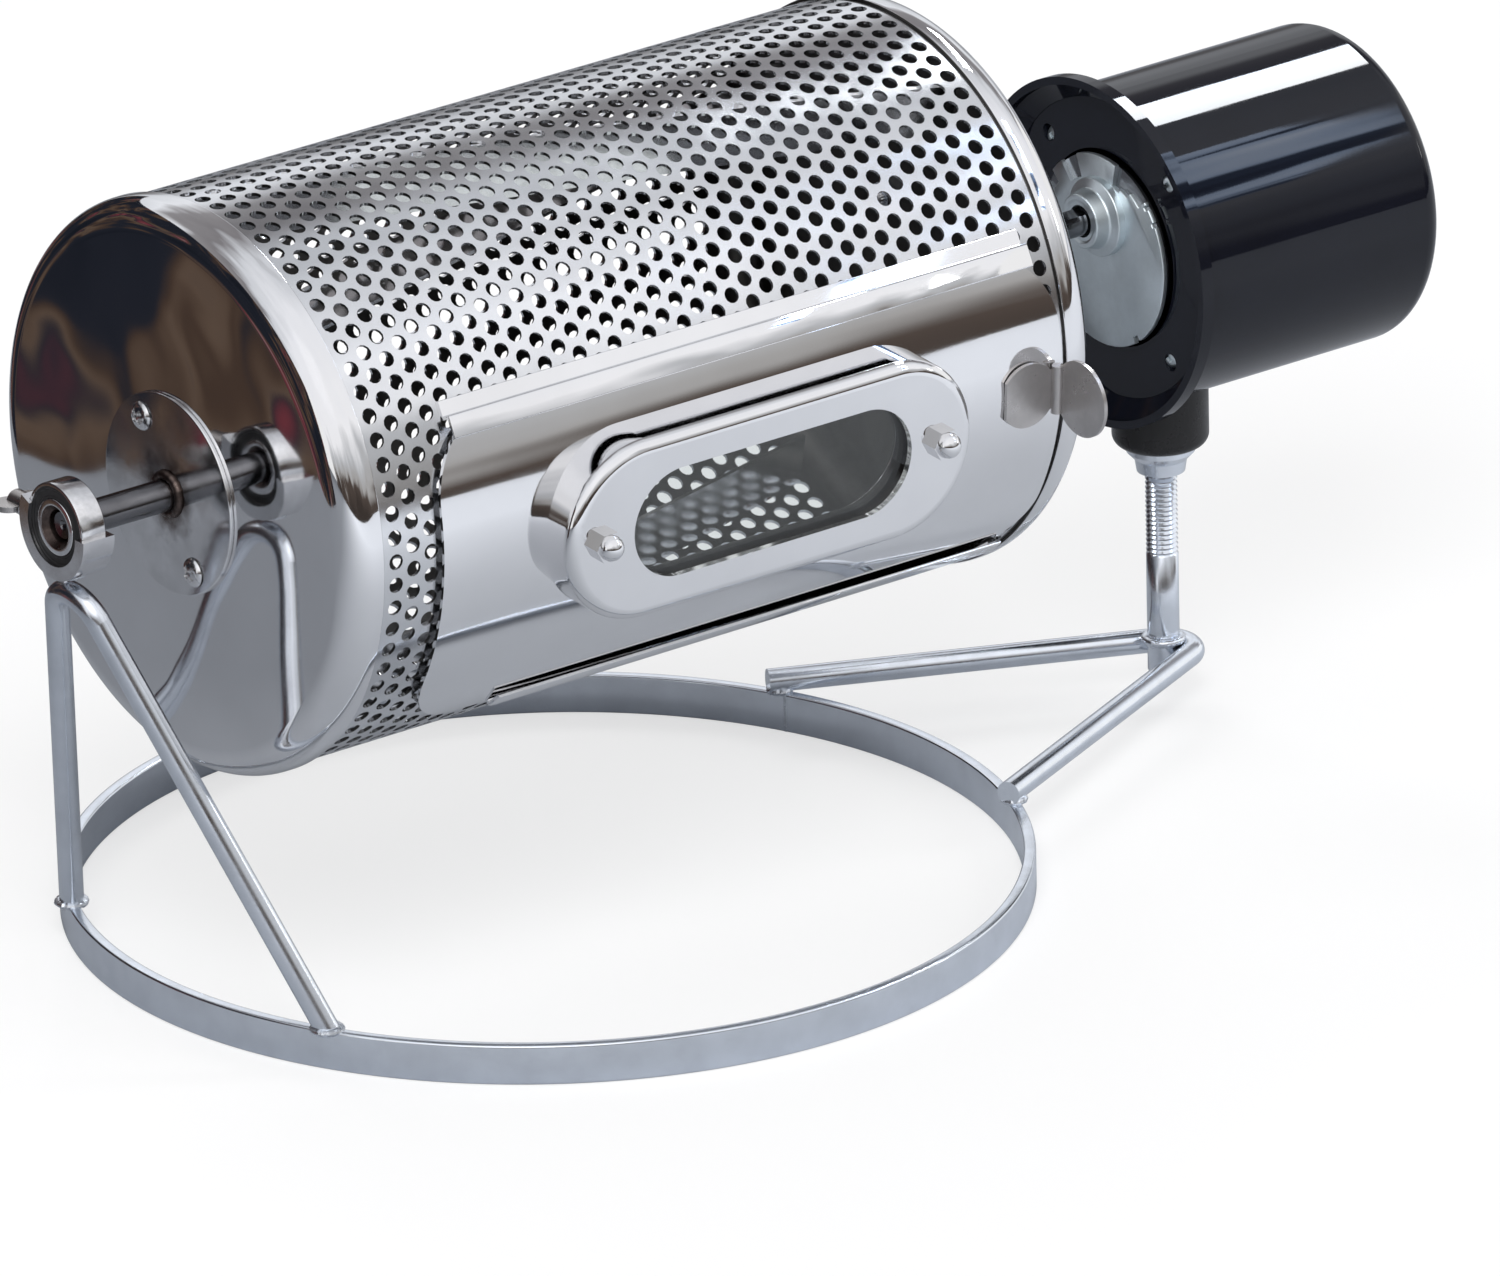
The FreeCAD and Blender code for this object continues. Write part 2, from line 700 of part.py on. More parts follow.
grip = float(c.hub_plate_thick + c.cap_wall)
hub_screws = []
hub_nuts = []
for outer_face, way in ((drum_left - c.hub_plate_thick, ALONG), (drum_right + c.hub_plate_thick, ALONG * -1)):
    for a, b in spots:
        at = Vector(float(shift + outer_face), half_circle * a, float(c.axis_height) + half_circle * b)
        hub_screws.append(round_screw(screw_size * 1.8, screw_size * 0.5, screw_size,
                                      grip + float(c.hub_screw_reach), at, way))
        nut_at = at + way * grip
        nut = hexagon(screw_size * 1.75, screw_size * 0.8, nut_at, way)
        hub_nuts.append(nut.cut(Part.makeCylinder(screw_size / 2, screw_size, nut_at, way)))
node(feature("hub_screws", Part.Compound(hub_screws)), "hub_screws")
node(feature("hub_nuts", Part.Compound(hub_nuts)), "hub_nuts")

# Drum shaft: a stub through the bearing and the left hub plate
node(rod("drum_shaft", c.bearing_bore - c.shaft_fit * 2, drum_left + c.cap_wall + 1 - c.shaft_recess, ALONG,
         shift + c.shaft_recess, 0, c.axis_height), "drum_shaft")

# Drive coupling: a blind sleeve on the right hub plate that takes the flatted motor shaft
coupling_start = drum_right + c.hub_plate_thick
socket_start = coupling_start + c.coupling_length - c.coupling_depth
socket_radius = float(c.motor_shaft_diameter / 2 + c.motor_shaft_fit)
axis_z = float(c.axis_height)


def flatted(radius, flat, start, length):
    """A round bar along the drum axis with one flat on top."""
    at = Vector(float(shift + start), 0, axis_z)
    bar = Part.makeCylinder(radius, length, at, ALONG)
    side = radius * 2
    return bar.cut(Part.makeBox(length, side, side, at + Vector(0, -radius, radius - flat)))


sleeve = Part.makeCylinder(float(c.coupling_diameter) / 2, float(c.coupling_length),
                           Vector(float(shift + coupling_start), 0, axis_z), ALONG)
spigot = Part.makeCylinder(float(c.bearing_bore - c.shaft_fit * 2) / 2,
                           float(c.hub_plate_thick + c.cap_wall + 1),
                           Vector(float(shift + drum_right - c.cap_wall - 1), 0, axis_z), ALONG)
shaft_flat = float(c.motor_shaft_flat)
sleeve = sleeve.fuse(spigot).cut(flatted(socket_radius, shaft_flat, socket_start, float(c.coupling_depth)))
grub_x = float(shift + coupling_start + c.coupling_length - c.grub_inset)
grub_at = Vector(grub_x, 0, axis_z)
grub_bore = Part.makeCylinder(screw_size / 2 + float(c.stud_play), float(c.coupling_diameter), grub_at, UP)
node(feature("drive_coupling", sleeve.cut(grub_bore)), "drive_coupling")

flat_height = float(c.motor_shaft_diameter) / 2 - shaft_flat
grub_length = float(c.coupling_diameter) / 2 - flat_height - 1
grub = Part.makeCylinder(screw_size / 2, grub_length, grub_at + UP * (flat_height + 0.1), UP)
grub = grub.cut(hexagon(screw_size * 0.5, screw_size * 0.5,
                        grub_at + UP * (flat_height + 0.1 + grub_length - screw_size * 0.5), UP))
node(feature("coupling_grub_screw", grub), "coupling_grub_screw")

# Gear motor: face plate with an offset output boss, gear case, motor can and output shaft
gear_face = housing_front + c.gearbox_setback
shaft_tip = socket_start + 2
node(feature("output_shaft", flatted(float(c.motor_shaft_diameter) / 2, shaft_flat, shaft_tip,
                                     float(gear_face - shaft_tip) - float(c.output_boss_height)).fuse(
    Part.makeCylinder(float(c.motor_shaft_diameter) / 2, float(c.output_boss_height + c.gearbox_length) - 2,
                      Vector(float(shift + gear_face - c.output_boss_height), 0, axis_z), ALONG))),
     "output_shaft")
shaft_bore = c.motor_shaft_diameter / 2 + c.motor_shaft_fit
turned("output_boss", [
    (0, shaft_bore),
    (0, c.output_boss_step / 2),
    (c.output_nose_height, c.output_boss_step / 2),
    (c.output_nose_height, c.output_boss_diameter / 2 - 1),
    (c.output_nose_height + 1, c.output_boss_diameter / 2),
    (c.output_boss_height + c.output_nose_height, c.output_boss_diameter / 2),
    (c.output_boss_height + c.output_nose_height, shaft_bore),
], shift + gear_face - c.output_boss_height - c.output_nose_height, 0, c.axis_height)

gear_plate = plate("gearbox_plate", c.gearbox_diameter, c.gearbox_plate, [
    (0, c.motor_drop, c.motor_shaft_diameter + c.motor_shaft_fit * 2),
    (0, -c.rivet_reach, c.rivet_hole),
    (-c.rivet_reach, -c.rivet_drop, c.rivet_hole),
], shift + gear_face, 0, motor_height)
notch = sketch_on(gear_plate, "YZ_Plane", "gearbox_notch")
outline(notch, [
    (-c.notch_width / 2, c.notch_floor),
    (c.notch_width / 2, c.notch_floor),
    (c.notch_width / 2, c.gearbox_diameter * 0.56),
    (-c.notch_width / 2, c.gearbox_diameter * 0.56),
])
notch_cut = gear_plate.newObject("PartDesign::Pocket", "gearbox_notch_cut")
notch_cut.Profile = notch
notch_cut.Type = 1
notch_cut.Midplane = True
doc.recompute()
notches = gear_plate.newObject("PartDesign::PolarPattern", "gearbox_notches")
notches.Originals = [notch_cut]
notches.Axis = (plane(gear_plate, "X_Axis"), [""])
notches.Angle = 360
notches.Occurrences = 9
gear_plate.Tip = notches

gear_inside = c.gearbox_diameter - 1
gear_case = rod("gear_case_round", gear_inside, c.gearbox_length, ALONG,
                shift + gear_face + c.gearbox_plate, 0, motor_height)
gear_bore = rod("gear_case_bore", c.motor_shaft_diameter + c.motor_shaft_fit * 2, c.gearbox_length - 1, ALONG,
                shift + gear_face, 0, c.axis_height)
node(cut("gearbox_case", gear_case, gear_bore), "gearbox_case")
can_start = gear_face + c.gearbox_plate + c.gearbox_length
turned("motor_can", [
    (0, 0),
    (0, c.motor_can_diameter / 2),
    (c.motor_can_length - 2, c.motor_can_diameter / 2),
    (c.motor_can_length, c.motor_can_diameter / 2 - 2),
    (c.motor_can_length, 0),
], shift + can_start, 0, motor_height)

# Housing: a drawn can with a flared front rim, a front ring inside it and a grommet at the back
housing = turned("motor_housing", [
    (0, c.flange_diameter / 2),
    (c.flange_depth, c.flange_diameter / 2),
    (c.flange_depth + c.flange_flare, c.housing_diameter / 2),
    (c.housing_length, c.housing_diameter / 2),
    (c.housing_length, 0),
    (c.housing_length - c.housing_wall, 0),
    (c.housing_length - c.housing_wall, c.housing_diameter / 2 - c.housing_wall),
    (c.flange_depth + c.flange_flare, c.housing_diameter / 2 - c.housing_wall),
    (c.flange_depth - 1, c.flange_diameter / 2 - c.housing_wall),
    (0, c.flange_diameter / 2 - c.housing_wall),
], shift + housing_front, 0, motor_height)
rounded(housing, "housing_rear_round", c.housing_round,
        lambda e: is_ring(e, c.housing_diameter / 2, ALONG, c.housing_length))
grommet_sketch = sketch_on(housing, "YZ_Plane", "grommet_hole")
circles(grommet_sketch, [(0, -c.grommet_drop, c.grommet_diameter)])
grommet_pocket = housing.newObject("PartDesign::Pocket", "grommet_pocket")
grommet_pocket.Profile = grommet_sketch
grommet_pocket.Type = 1
grommet_pocket.Midplane = True

ring_hole = c.gearbox_diameter / 2 + c.front_ring_gap
screw_reach = c.front_screw_circle / 2 * round(math.cos(math.pi / 4), 5)
corner_spots = [
    (screw_reach * a, screw_reach * b, c.screw_diameter + c.screw_play * 2)
    for a in (1, -1)
    for b in (1, -1)
]
front_ring_face = housing_front + c.front_ring_setback
plate("housing_front_ring", c.housing_diameter - c.housing_wall * 2 - c.post_fit * 2, c.front_ring_thick,
      [(0, 0, ring_hole * 2)] + corner_spots, shift + front_ring_face, 0, motor_height)
front_screws = []
front_lugs = []
for a, b, _ in corner_spots:
    at = Vector(float(shift + front_ring_face), float(a), float(motor_height) + float(b))
    front_screws.append(round_screw(screw_size * 1.8, screw_size * 0.5, screw_size,
                                    float(c.front_screw_length), at, ALONG))
    lug_at = at + ALONG * float(c.front_ring_thick)
    reach = float(c.housing_diameter - c.housing_wall * 2) / 2 - float(c.front_screw_circle) / 2
    lug = Part.makeCylinder(reach, float(c.lug_length), lug_at, ALONG)
    front_lugs.append(lug.cut(Part.makeCylinder(screw_size / 2, float(c.lug_bore_depth), lug_at, ALONG)))
node(feature("front_ring_screws", Part.Compound(front_screws)), "front_ring_screws")
node(feature("housing_screw_lugs", Part.Compound(front_lugs)), "housing_screw_lugs")
turned("cord_grommet", [
    (-c.grommet_lip, c.grommet_diameter / 4),
    (-c.grommet_lip, c.grommet_diameter / 2 + 2),
    (0, c.grommet_diameter / 2 + 2),
    (0, c.grommet_diameter / 2),
    (c.housing_wall, c.grommet_diameter / 2),
    (c.housing_wall, c.grommet_diameter / 4),
], shift + housing_rear - c.housing_wall, 0, motor_height - c.grommet_drop)

# Perforated sheet: a rolled tube with a door mouth and staggered rows of holes
sheet_length = c.sheet_visible + c.cap_skirt * 2
tube = rod("sheet_outer", sheet_radius * 2, sheet_length, ALONG,
           shift + seam_left - c.cap_skirt, 0, c.axis_height)
hollow = rod("sheet_inner", sheet_inside * 2, sheet_length + 2, ALONG,
             shift + seam_left - c.cap_skirt - 1, 0, c.axis_height)
door_from = seam_left + c.door_start
mouth_length = float(c.door_length - c.mouth_edge * 2)
mouth_height = 2 * float(sheet_radius) * math.sin(math.radians(float(c.door_half_angle) - 4))
mouth_at = Vector(0, -float(c.drum_diameter), -mouth_height / 2)
mouth_block = Part.makeBox(mouth_length, float(c.drum_diameter) - 25, mouth_height, mouth_at)
mouth_edges = [e for e in mouth_block.Edges if abs(e.tangentAt(e.FirstParameter).y) > 0.9]
mouth = set_on_drum(feature("door_mouth", mouth_block.makeFillet(float(c.mouth_corner), mouth_edges)),
                    c.door_turn, door_from + c.mouth_edge)

pitch = float(c.hole_pitch)
row_step = pitch * math.sin(math.pi / 3)
rows = int((float(c.sheet_visible) - 2 * float(c.hole_margin)) / row_step) + 1
around = int(2 * math.pi * float(sheet_radius) / pitch)
first_row = float(c.sheet_visible) / 2 - (rows - 1) * row_step / 2
door_first = float(c.door_start) - float(c.hole_width) / 2
door_last = float(c.door_start + c.door_length) + float(c.hole_width) / 2
plain_half_angle = float(c.door_half_angle + c.rail_foot_angle + c.rail_lip_angle)
pegs = []
for row in range(rows):
    along = first_row + row * row_step
    for k in range(around):
        angle = 360.0 * (k + 0.5 * (row % 2)) / around
        from_door = (angle - float(c.door_turn) + 180) % 360 - 180
        if door_first < along < door_last and abs(from_door) < plain_half_angle:
            continue
        outward = Vector(0, -math.cos(math.radians(angle)), math.sin(math.radians(angle)))
        peg_at = Vector(float(shift + seam_left) + along, 0, axis_z) + outward * (float(sheet_inside) - 2)
        pegs.append(hexagon(float(c.hole_width) * math.cos(math.pi / 6), 5, peg_at, outward))
perforation = feature("perforation", Part.Compound(pegs))
sheet_with_mouth = cut("sheet_with_mouth", cut("sheet_tube", tube, hollow), mouth)
node(cut("drum_shell", sheet_with_mouth, perforation), "drum_shell")

# Mixing vanes: strips set askew along the inside of the sheet
vanes = []
vane_total = int(float(c.vane_count))
vane_length = float(c.sheet_visible)
inside_round = Part.makeCylinder(float(sheet_inside), vane_length - 6, Vector(3 - vane_length / 2, 0, 0), ALONG)
for k in range(vane_total):
    strip = Part.makeBox(vane_length * 1.2, float(c.vane_height) + 4, float(c.vane_thick),
                         Vector(-vane_length * 0.6, -float(sheet_inside) - 4, -float(c.vane_thick) / 2))
    strip.rotate(Vector(0, 0, 0), BACK, float(c.vane_skew))
    strip = strip.common(inside_round)
    strip.rotate(Vector(0, 0, 0), ALONG, -float(c.door_turn) - 360.0 / (vane_total + 1) * (k + 1))
    strip.translate(Vector(float(shift + seam_left) + vane_length / 2, 0, axis_z))
    vanes.append(strip)
node(feature("mixing_vanes", Part.Compound(vanes)), "mixing_vanes")

# Door rails: strips folded to a Z, with a foot on the sheet and a lip over the door
door_edge = c.door_half_angle
lip_inside = door_outside + c.door_play
lip_outside = lip_inside + c.rail_wall
fold_angle = 0.7
for label, side in (("door_rail_upper", 1), ("door_rail_lower", -1)):
    parts = []
    spans = (
        ("foot", sheet_radius, sheet_radius + c.rail_wall, door_edge + c.rail_side_angle,
         door_edge + c.rail_side_angle + c.rail_foot_angle),
        ("riser", sheet_radius, lip_outside, door_edge + c.rail_side_angle,
         door_edge + c.rail_side_angle + fold_angle),
        ("lip", lip_inside, lip_outside, door_edge - c.rail_lip_angle,
         door_edge + c.rail_side_angle + fold_angle),
    )
    for part_name, inside, outside, near, far in spans:
        first, last = (near, far) if side > 0 else (-far, -near)
        parts.append(tube_sector("%s_%s" % (label, part_name), inside, outside, c.rail_length,
                                 c.door_turn + first, c.door_turn + last, seam_left + c.rail_start))
    node(fuse(label, *parts), label)

# Sliding door: a curved panel with round corners, cut out under the window
panel_height = 2 * float(door_outside) * math.sin(math.radians(float(c.door_half_angle)))
panel_length = float(c.door_length)
panel_tube = Part.makeCylinder(float(door_outside), panel_length, Vector(0, 0, 0), ALONG)
panel_tube = panel_tube.cut(Part.makeCylinder(float(door_inside), panel_length, Vector(0, 0, 0), ALONG))
panel_block = Part.makeBox(panel_length, float(c.drum_diameter), panel_height,
                           Vector(0, -float(c.drum_diameter) - 20, -panel_height / 2))
panel_edges = [e for e in panel_block.Edges if abs(e.tangentAt(e.FirstParameter).y) > 0.9]
panel = panel_tube.common(panel_block.makeFillet(float(c.door_corner), panel_edges))
tilt = FreeCAD.Rotation(ALONG, -float(c.window_turn))
window_along = float(window_centre - door_from)
stud_half = float(c.window_stud_spacing) / 2
panel_hole = stadium_block(c.glass_opening_length + 4, c.glass_opening_height + 4, 30, window_face)
stud_holes = [
    Part.makeCylinder(screw_size / 2 + float(c.stud_play), 30,
                      Vector(side * stud_half, -float(window_face) - 5, 0), BACK)
    for side in (1, -1)
]
for opening in [panel_hole] + stud_holes:
    opening.Placement = FreeCAD.Placement(Vector(window_along, 0, 0), tilt).multiply(opening.Placement)
    panel = panel.cut(opening)
node(set_on_drum(feature("door_panel", panel), c.door_turn, door_from), "door_panel")

# Window: a raised stadium frame, glass, gasket, studs and cap nuts
frame_wall = float(c.window_wall)
face_at = float(window_face)
frame = stadium_block(c.window_length, c.window_height, float(door_inside) - 12, window_face)
front_edges = [e for e in frame.Edges if abs(e.BoundBox.YMin + face_at) < 0.01 and e.BoundBox.YLength < 0.01]
frame = frame.makeFillet(float(c.window_round), front_edges)
frame = frame.cut(stadium_block(float(c.window_length) - 2 * frame_wall, float(c.window_height) - 2 * frame_wall,
                                float(door_inside) - 13, face_at - frame_wall))
frame = frame.cut(stadium_block(c.glass_opening_length, c.glass_opening_height, 30, face_at + 1))
under_frame = Part.makeCylinder(float(door_outside), 300, Vector(-150, 0, 0), ALONG)
frame = frame.cut(under_frame)
for side in (1, -1):
    stud_hole = Part.makeCylinder(screw_size / 2 + float(c.stud_play), 30,
                                  Vector(side * stud_half, -face_at - 5, 0), BACK)
    frame = frame.cut(stud_hole)
node(set_on_drum(feature("window_frame", frame), window_angle, window_centre), "window_frame")

ledge = float(c.glass_ledge)
glass_length = float(c.glass_opening_length) + 2 * ledge
glass_height = float(c.glass_opening_height) + 2 * ledge
glass_front = face_at - frame_wall
glass_back = glass_front - float(c.glass_thick)
glass = stadium_block(glass_length, glass_height, glass_back, glass_front)
node(set_on_drum(feature("window_glass", glass), window_angle, window_centre), "window_glass")
gasket_wall = float(c.gasket_wall)
gasket = stadium_block(glass_length, glass_height, float(door_inside) - 6, glass_back)
gasket = gasket.cut(stadium_block(glass_length - 2 * gasket_wall, glass_height - 2 * gasket_wall, 30, face_at))
gasket = gasket.cut(under_frame)
node(set_on_drum(feature("window_gasket", gasket), window_angle, window_centre), "window_gasket")

studs = []
cap_nuts = []
nut_width = float(c.nut_width)
nut_height = float(c.nut_height)
for side in (1, -1):
    root = Vector(side * stud_half, -float(door_inside) - 0.1, 0)
    studs.append(Part.makeCylinder(screw_size / 2, face_at - float(door_inside) + nut_height, root, BACK * -1))
    nut_at = Vector(side * stud_half, -face_at, 0)
    dome = Part.makeSphere(nut_width * 0.46, nut_at + BACK * -nut_height)
    nut = hexagon(nut_width, nut_height, nut_at, BACK * -1).fuse(
        dome.common(Part.makeCylinder(nut_width, nut_width, nut_at, BACK * -1)))
    cap_nuts.append(nut.cut(Part.makeCylinder(screw_size / 2, nut_height + 0.2, nut_at, BACK * -1)))
node(set_on_drum(feature("window_studs", Part.Compound(studs)), window_angle, window_centre), "window_studs")
node(set_on_drum(feature("window_cap_nuts", Part.Compound(cap_nuts)), window_angle, window_centre),
     "window_cap_nuts")

# Finger tab: one stamping with a flat lobe on the door and a lobe that stands out from it
tab_thick = float(c.tab_thick)
tab_base = float(door_outside) + 0.05
flat_width = float(c.tab_flat_width)
flat_height_z = float(c.tab_flat_height)
roll = float(c.tab_roll)
flat_lobe = Part.makeCylinder(flat_height_z / 2, tab_thick,
                              Vector(-flat_width / 2, -tab_base - tab_thick, 0), BACK)
flat_lobe = flat_lobe.common(Part.makeBox(flat_width, 40, 40, Vector(-flat_width, -tab_base - 20, -20)))
spine = Part.makeCylinder(roll / 2, flat_height_z * 0.75,
                          Vector(roll / 2, -tab_base - roll / 2, -flat_height_z * 0.375), UP)
neck = Part.makeBox(roll / 2 + 1, tab_thick, flat_height_z * 0.6,
                    Vector(-1, -tab_base - tab_thick, -flat_height_z * 0.3))
rise = float(c.tab_rise)
standing = Part.makeCylinder(rise / 2, tab_thick, Vector(roll - tab_thick, -tab_base - rise / 2, 0), ALONG)
tab = flat_lobe.fuse([spine, neck, standing]).removeSplitter()
node(set_on_drum(feature("door_tab", tab), window_angle, door_from + c.door_length - c.tab_edge_gap), "door_tab")

# Check every object, then write one file for each piece
doc.recompute()
for item in doc.Objects:
    wrong = [word for word in item.State if word in ("Invalid", "Error")]
    if wrong:
        raise RuntimeError("%s failed: %s" % (item.Label, wrong))
os.makedirs("parts", exist_ok=True)
for item in nodes:
    shape = item.Shape
    if shape.isNull() or not shape.isValid():
        raise RuntimeError("%s has no valid shape" % item.Label)
    if not shape.Solids:
        raise RuntimeError("%s has no solid" % item.Label)
    shape.exportStep(os.path.join("parts", item.Label + ".step"))
    print("%-22s solids %3d  volume %10.1f" % (item.Label, len(shape.Solids), shape.Volume))
print("nodes", len(nodes))
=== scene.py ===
import json
import math

import bmesh
import bpy
from mathutils import Matrix, Vector, noise


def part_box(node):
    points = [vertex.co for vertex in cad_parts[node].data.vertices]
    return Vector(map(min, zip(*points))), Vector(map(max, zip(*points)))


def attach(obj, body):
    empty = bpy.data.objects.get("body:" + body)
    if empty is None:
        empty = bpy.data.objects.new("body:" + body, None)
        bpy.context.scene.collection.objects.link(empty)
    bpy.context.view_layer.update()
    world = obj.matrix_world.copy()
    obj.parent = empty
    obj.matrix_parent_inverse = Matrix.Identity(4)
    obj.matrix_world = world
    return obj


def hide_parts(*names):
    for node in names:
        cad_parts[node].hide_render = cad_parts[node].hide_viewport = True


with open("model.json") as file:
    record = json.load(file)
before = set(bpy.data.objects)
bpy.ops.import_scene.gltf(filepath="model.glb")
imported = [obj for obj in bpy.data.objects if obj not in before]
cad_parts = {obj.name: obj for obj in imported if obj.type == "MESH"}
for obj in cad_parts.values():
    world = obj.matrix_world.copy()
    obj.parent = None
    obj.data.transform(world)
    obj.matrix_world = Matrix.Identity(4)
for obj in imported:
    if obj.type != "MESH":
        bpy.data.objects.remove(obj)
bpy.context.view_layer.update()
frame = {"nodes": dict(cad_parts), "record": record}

bl_info = {
    "name": "Coffee bean roaster",
    "version": (1, 0, 0),
    "blender": (4, 5, 0),
    "location": "View3D > Sidebar > Roaster",
    "description": "Dresses the packed frame of a home coffee bean roaster",
    "category": "Object",
}

MM = 0.001
NODES = frame["nodes"]
SLOT_OF = {part["node"]: part["material_slot"] for part in frame["record"]["subparts"]}
AXIS_HEIGHT = next(j for j in frame["record"]["behaviour"]["joints"] if j["name"] == "drum_spin")["pos_m"][2]
ALONG = Vector((1, 0, 0))
BACK = Vector((0, 1, 0))
UP = Vector((0, 0, 1))


def length_property(name, words, value):
    return bpy.props.FloatProperty(
        name=name, description=words, default=value * MM, subtype="DISTANCE", unit="LENGTH")


def angle_property(name, words, degrees):
    return bpy.props.FloatProperty(
        name=name, description=words, default=math.radians(degrees), subtype="ANGLE", unit="ROTATION")


def colour_property(name, words, value):
    return bpy.props.FloatVectorProperty(
        name=name, description=words, default=value, size=3, min=0, max=1, subtype="COLOR")


class RoasterSizes(bpy.types.PropertyGroup):
    """Sizes of the pieces that the frame doesn't give: lengths in millimetres, angles in degrees."""

    hole_width: length_property("Hole width", "Diameter of one hole in the drum sheet", 4)
    hole_count: bpy.props.IntProperty(
        name="Holes around", description="Holes in one row round the drum", default=74, min=12)
    row_count: bpy.props.IntProperty(
        name="Rows of holes", description="Rows of holes along the drum", default=39, min=3)
    row_margin: length_property("Row margin", "Distance from a cap's edge to the nearest row of holes", 3.9)
    plain_margin: length_property("Plain margin", "Least distance from the mouth to a hole's middle", 4)
    cap_overlap: length_property("Cap overlap", "Length of sheet inside each cap", 2)
    sheet_wall: length_property("Sheet wall", "Thickness of the drum sheet and the caps", 0.8)
    door_turn: angle_property("Door angle", "Angle of the door's middle line above the front", -11)
    door_half_turn: angle_property("Door half angle", "Half of the angle that the door covers", 35)
    mouth_inset: length_property("Mouth inset", "Distance from the door's ends to the mouth under it", 16)
    mouth_half_turn: angle_property("Mouth half angle", "Half of the angle that the mouth covers", 31)
    mouth_corner: length_property("Mouth corner", "Corner radius of the mouth", 8)
    cap_round: length_property("Cap shoulder", "Radius of a cap's rounded shoulder", 8)
    cap_bore: length_property("Cap bore", "Radius of the shaft's hole in the caps and hub plates", 4)
    rail_start: length_property("Lower rail start", "Distance from the door's left end to the lower rail", 28)
    plate_radius: length_property("Gearbox plate radius", "Radius of the gearbox's front plate", 24.4)
    screw_head: length_property("Screw head", "Diameter of a cross-head screw's head", 7.2)
    screw_height: length_property("Screw head height", "Height of a cross-head screw's domed head", 2)
    screw_thread: length_property("Screw thread", "Diameter of a cross-head screw's thread", 4)
    hub_screw_length: length_property("Hub screw length", "Length of a hub screw under its head", 6.5)
    ring_screw_length: length_property("Ring screw length", "Length of a front ring screw under its head", 9)
    bar_thick: length_property("Bar thickness", "Thickness of the hoop's flat bar", 3)
    rod_radius: length_property("Rod radius", "Radius of the stand's bent rods", 3)
    leg_foot_turn: angle_property(
        "Leg foot angle", "Angle round the hoop from the left to a leg's foot", 26.2)
    brace_foot_turn: angle_property(
        "Brace foot angle", "Angle round the hoop from the right to a brace's foot", 23.5)
    seam_turn: angle_property("Hoop seam angle", "Angle round the hoop from the right to its butt seam", 22.4)
    thread_pitch: length_property("Post thread pitch", "Pitch of the thread at the top of the post", 1.25)
    thread_length: length_property(
        "Post thread length", "Length of the thread that shows under the collar", 22)
    weld_thick: length_property("Weld thickness", "Thickness of a weld bead", 1.3)


class RoasterColours(bpy.types.PropertyGroup):
    """Colours of the finishes and the stage."""

    mirror: colour_property("Mirror steel", "Mirror-polished stainless steel", (0.84, 0.84, 0.85))
    sheet: colour_property("Drum sheet", "Bright perforated sheet", (0.84, 0.85, 0.87))
    zinc: colour_property("Zinc plating", "Bluish zinc plating on the stand", (0.84, 0.88, 0.94))
    pale_zinc: colour_property("Pale zinc", "Pale zinc plating on the gearbox", (0.72, 0.79, 0.82))
    satin: colour_property("Satin steel", "Satin stamped steel", (0.52, 0.50, 0.49))
    dark: colour_property("Dark steel", "Dark turned steel", (0.20, 0.20, 0.21))
    enamel: colour_property("Enamel", "Gloss black enamel", (0.006, 0.007, 0.012))
    rubber: colour_property("Rubber", "Black rubber", (0.016, 0.016, 0.017))
    glass: colour_property("Glass", "Heat-proof glass", (0.92, 0.96, 0.95))
    # Heat tint round the shaft's welds; the same colour also paints the shade in the bearing's bore.
    heat: colour_property("Heat mark", "Dark mark round the shaft's weld", (0.13, 0.10, 0.09))
    # Painted shade: the drum's inside is painted dark to stand for the shade within the drum.
    drum_inside_shade: colour_property("Stained steel", "Inside of the drum, darkened by roasting", (0.10, 0.095, 0.09))
    # Painted shade: the floor's colours in reflections, darker behind the roaster than in front.
    front_floor: colour_property(
        "Floor in metal, front", "Floor as the metal shows it in front", (0.72, 0.75, 0.80))
    back_floor: colour_property(
        "Floor in metal, behind", "Floor as the metal shows it behind", (0.19, 0.205, 0.23))
    floor: colour_property("Floor", "Floor and background", (0.93, 0.93, 0.93))


def sizes():
    return bpy.context.scene.roaster_sizes


def colours():
    return bpy.context.scene.roaster_colours


# Shader groups and finishes

def new_group(name, inputs, outputs):
    """An empty node group with named sockets: each input is (name, kind, default)."""
    group = bpy.data.node_groups.new(name, "ShaderNodeTree")
    for label, kind, value in inputs:
        socket = group.interface.new_socket(label, in_out="INPUT", socket_type="NodeSocket" + kind)
        if value is not None:
            socket.default_value = value
    for label, kind in outputs:
        group.interface.new_socket(label, in_out="OUTPUT", socket_type="NodeSocket" + kind)
    return group, group.nodes.new("NodeGroupInput"), group.nodes.new("NodeGroupOutput")


def add_node(tree, kind, links=None, **settings):
    """A node whose inputs are linked to sockets or set to plain values."""
    item = tree.nodes.new(kind)
    for key, value in settings.items():
        setattr(item, key, value)
    for key, value in (links or {}).items():
        if isinstance(value, bpy.types.NodeSocket):
            tree.links.new(value, item.inputs[key])
        else:
            item.inputs[key].default_value = value
    return item


def range_of(tree, value, start, end, low, high):
    return add_node(tree, "ShaderNodeMapRange", {
        "Value": value, "From Min": start, "From Max": end, "To Min": low, "To Max": high,
    }).outputs["Result"]


def reckoned(tree, operation, first, second):
    return add_node(tree, "ShaderNodeMath", {0: first, 1: second}, operation=operation).outputs[0]


def mixed(tree, factor, first, second):
    item = add_node(tree, "ShaderNodeMix", {0: factor, 6: first, 7: second}, data_type="RGBA")
    return item.outputs[2]


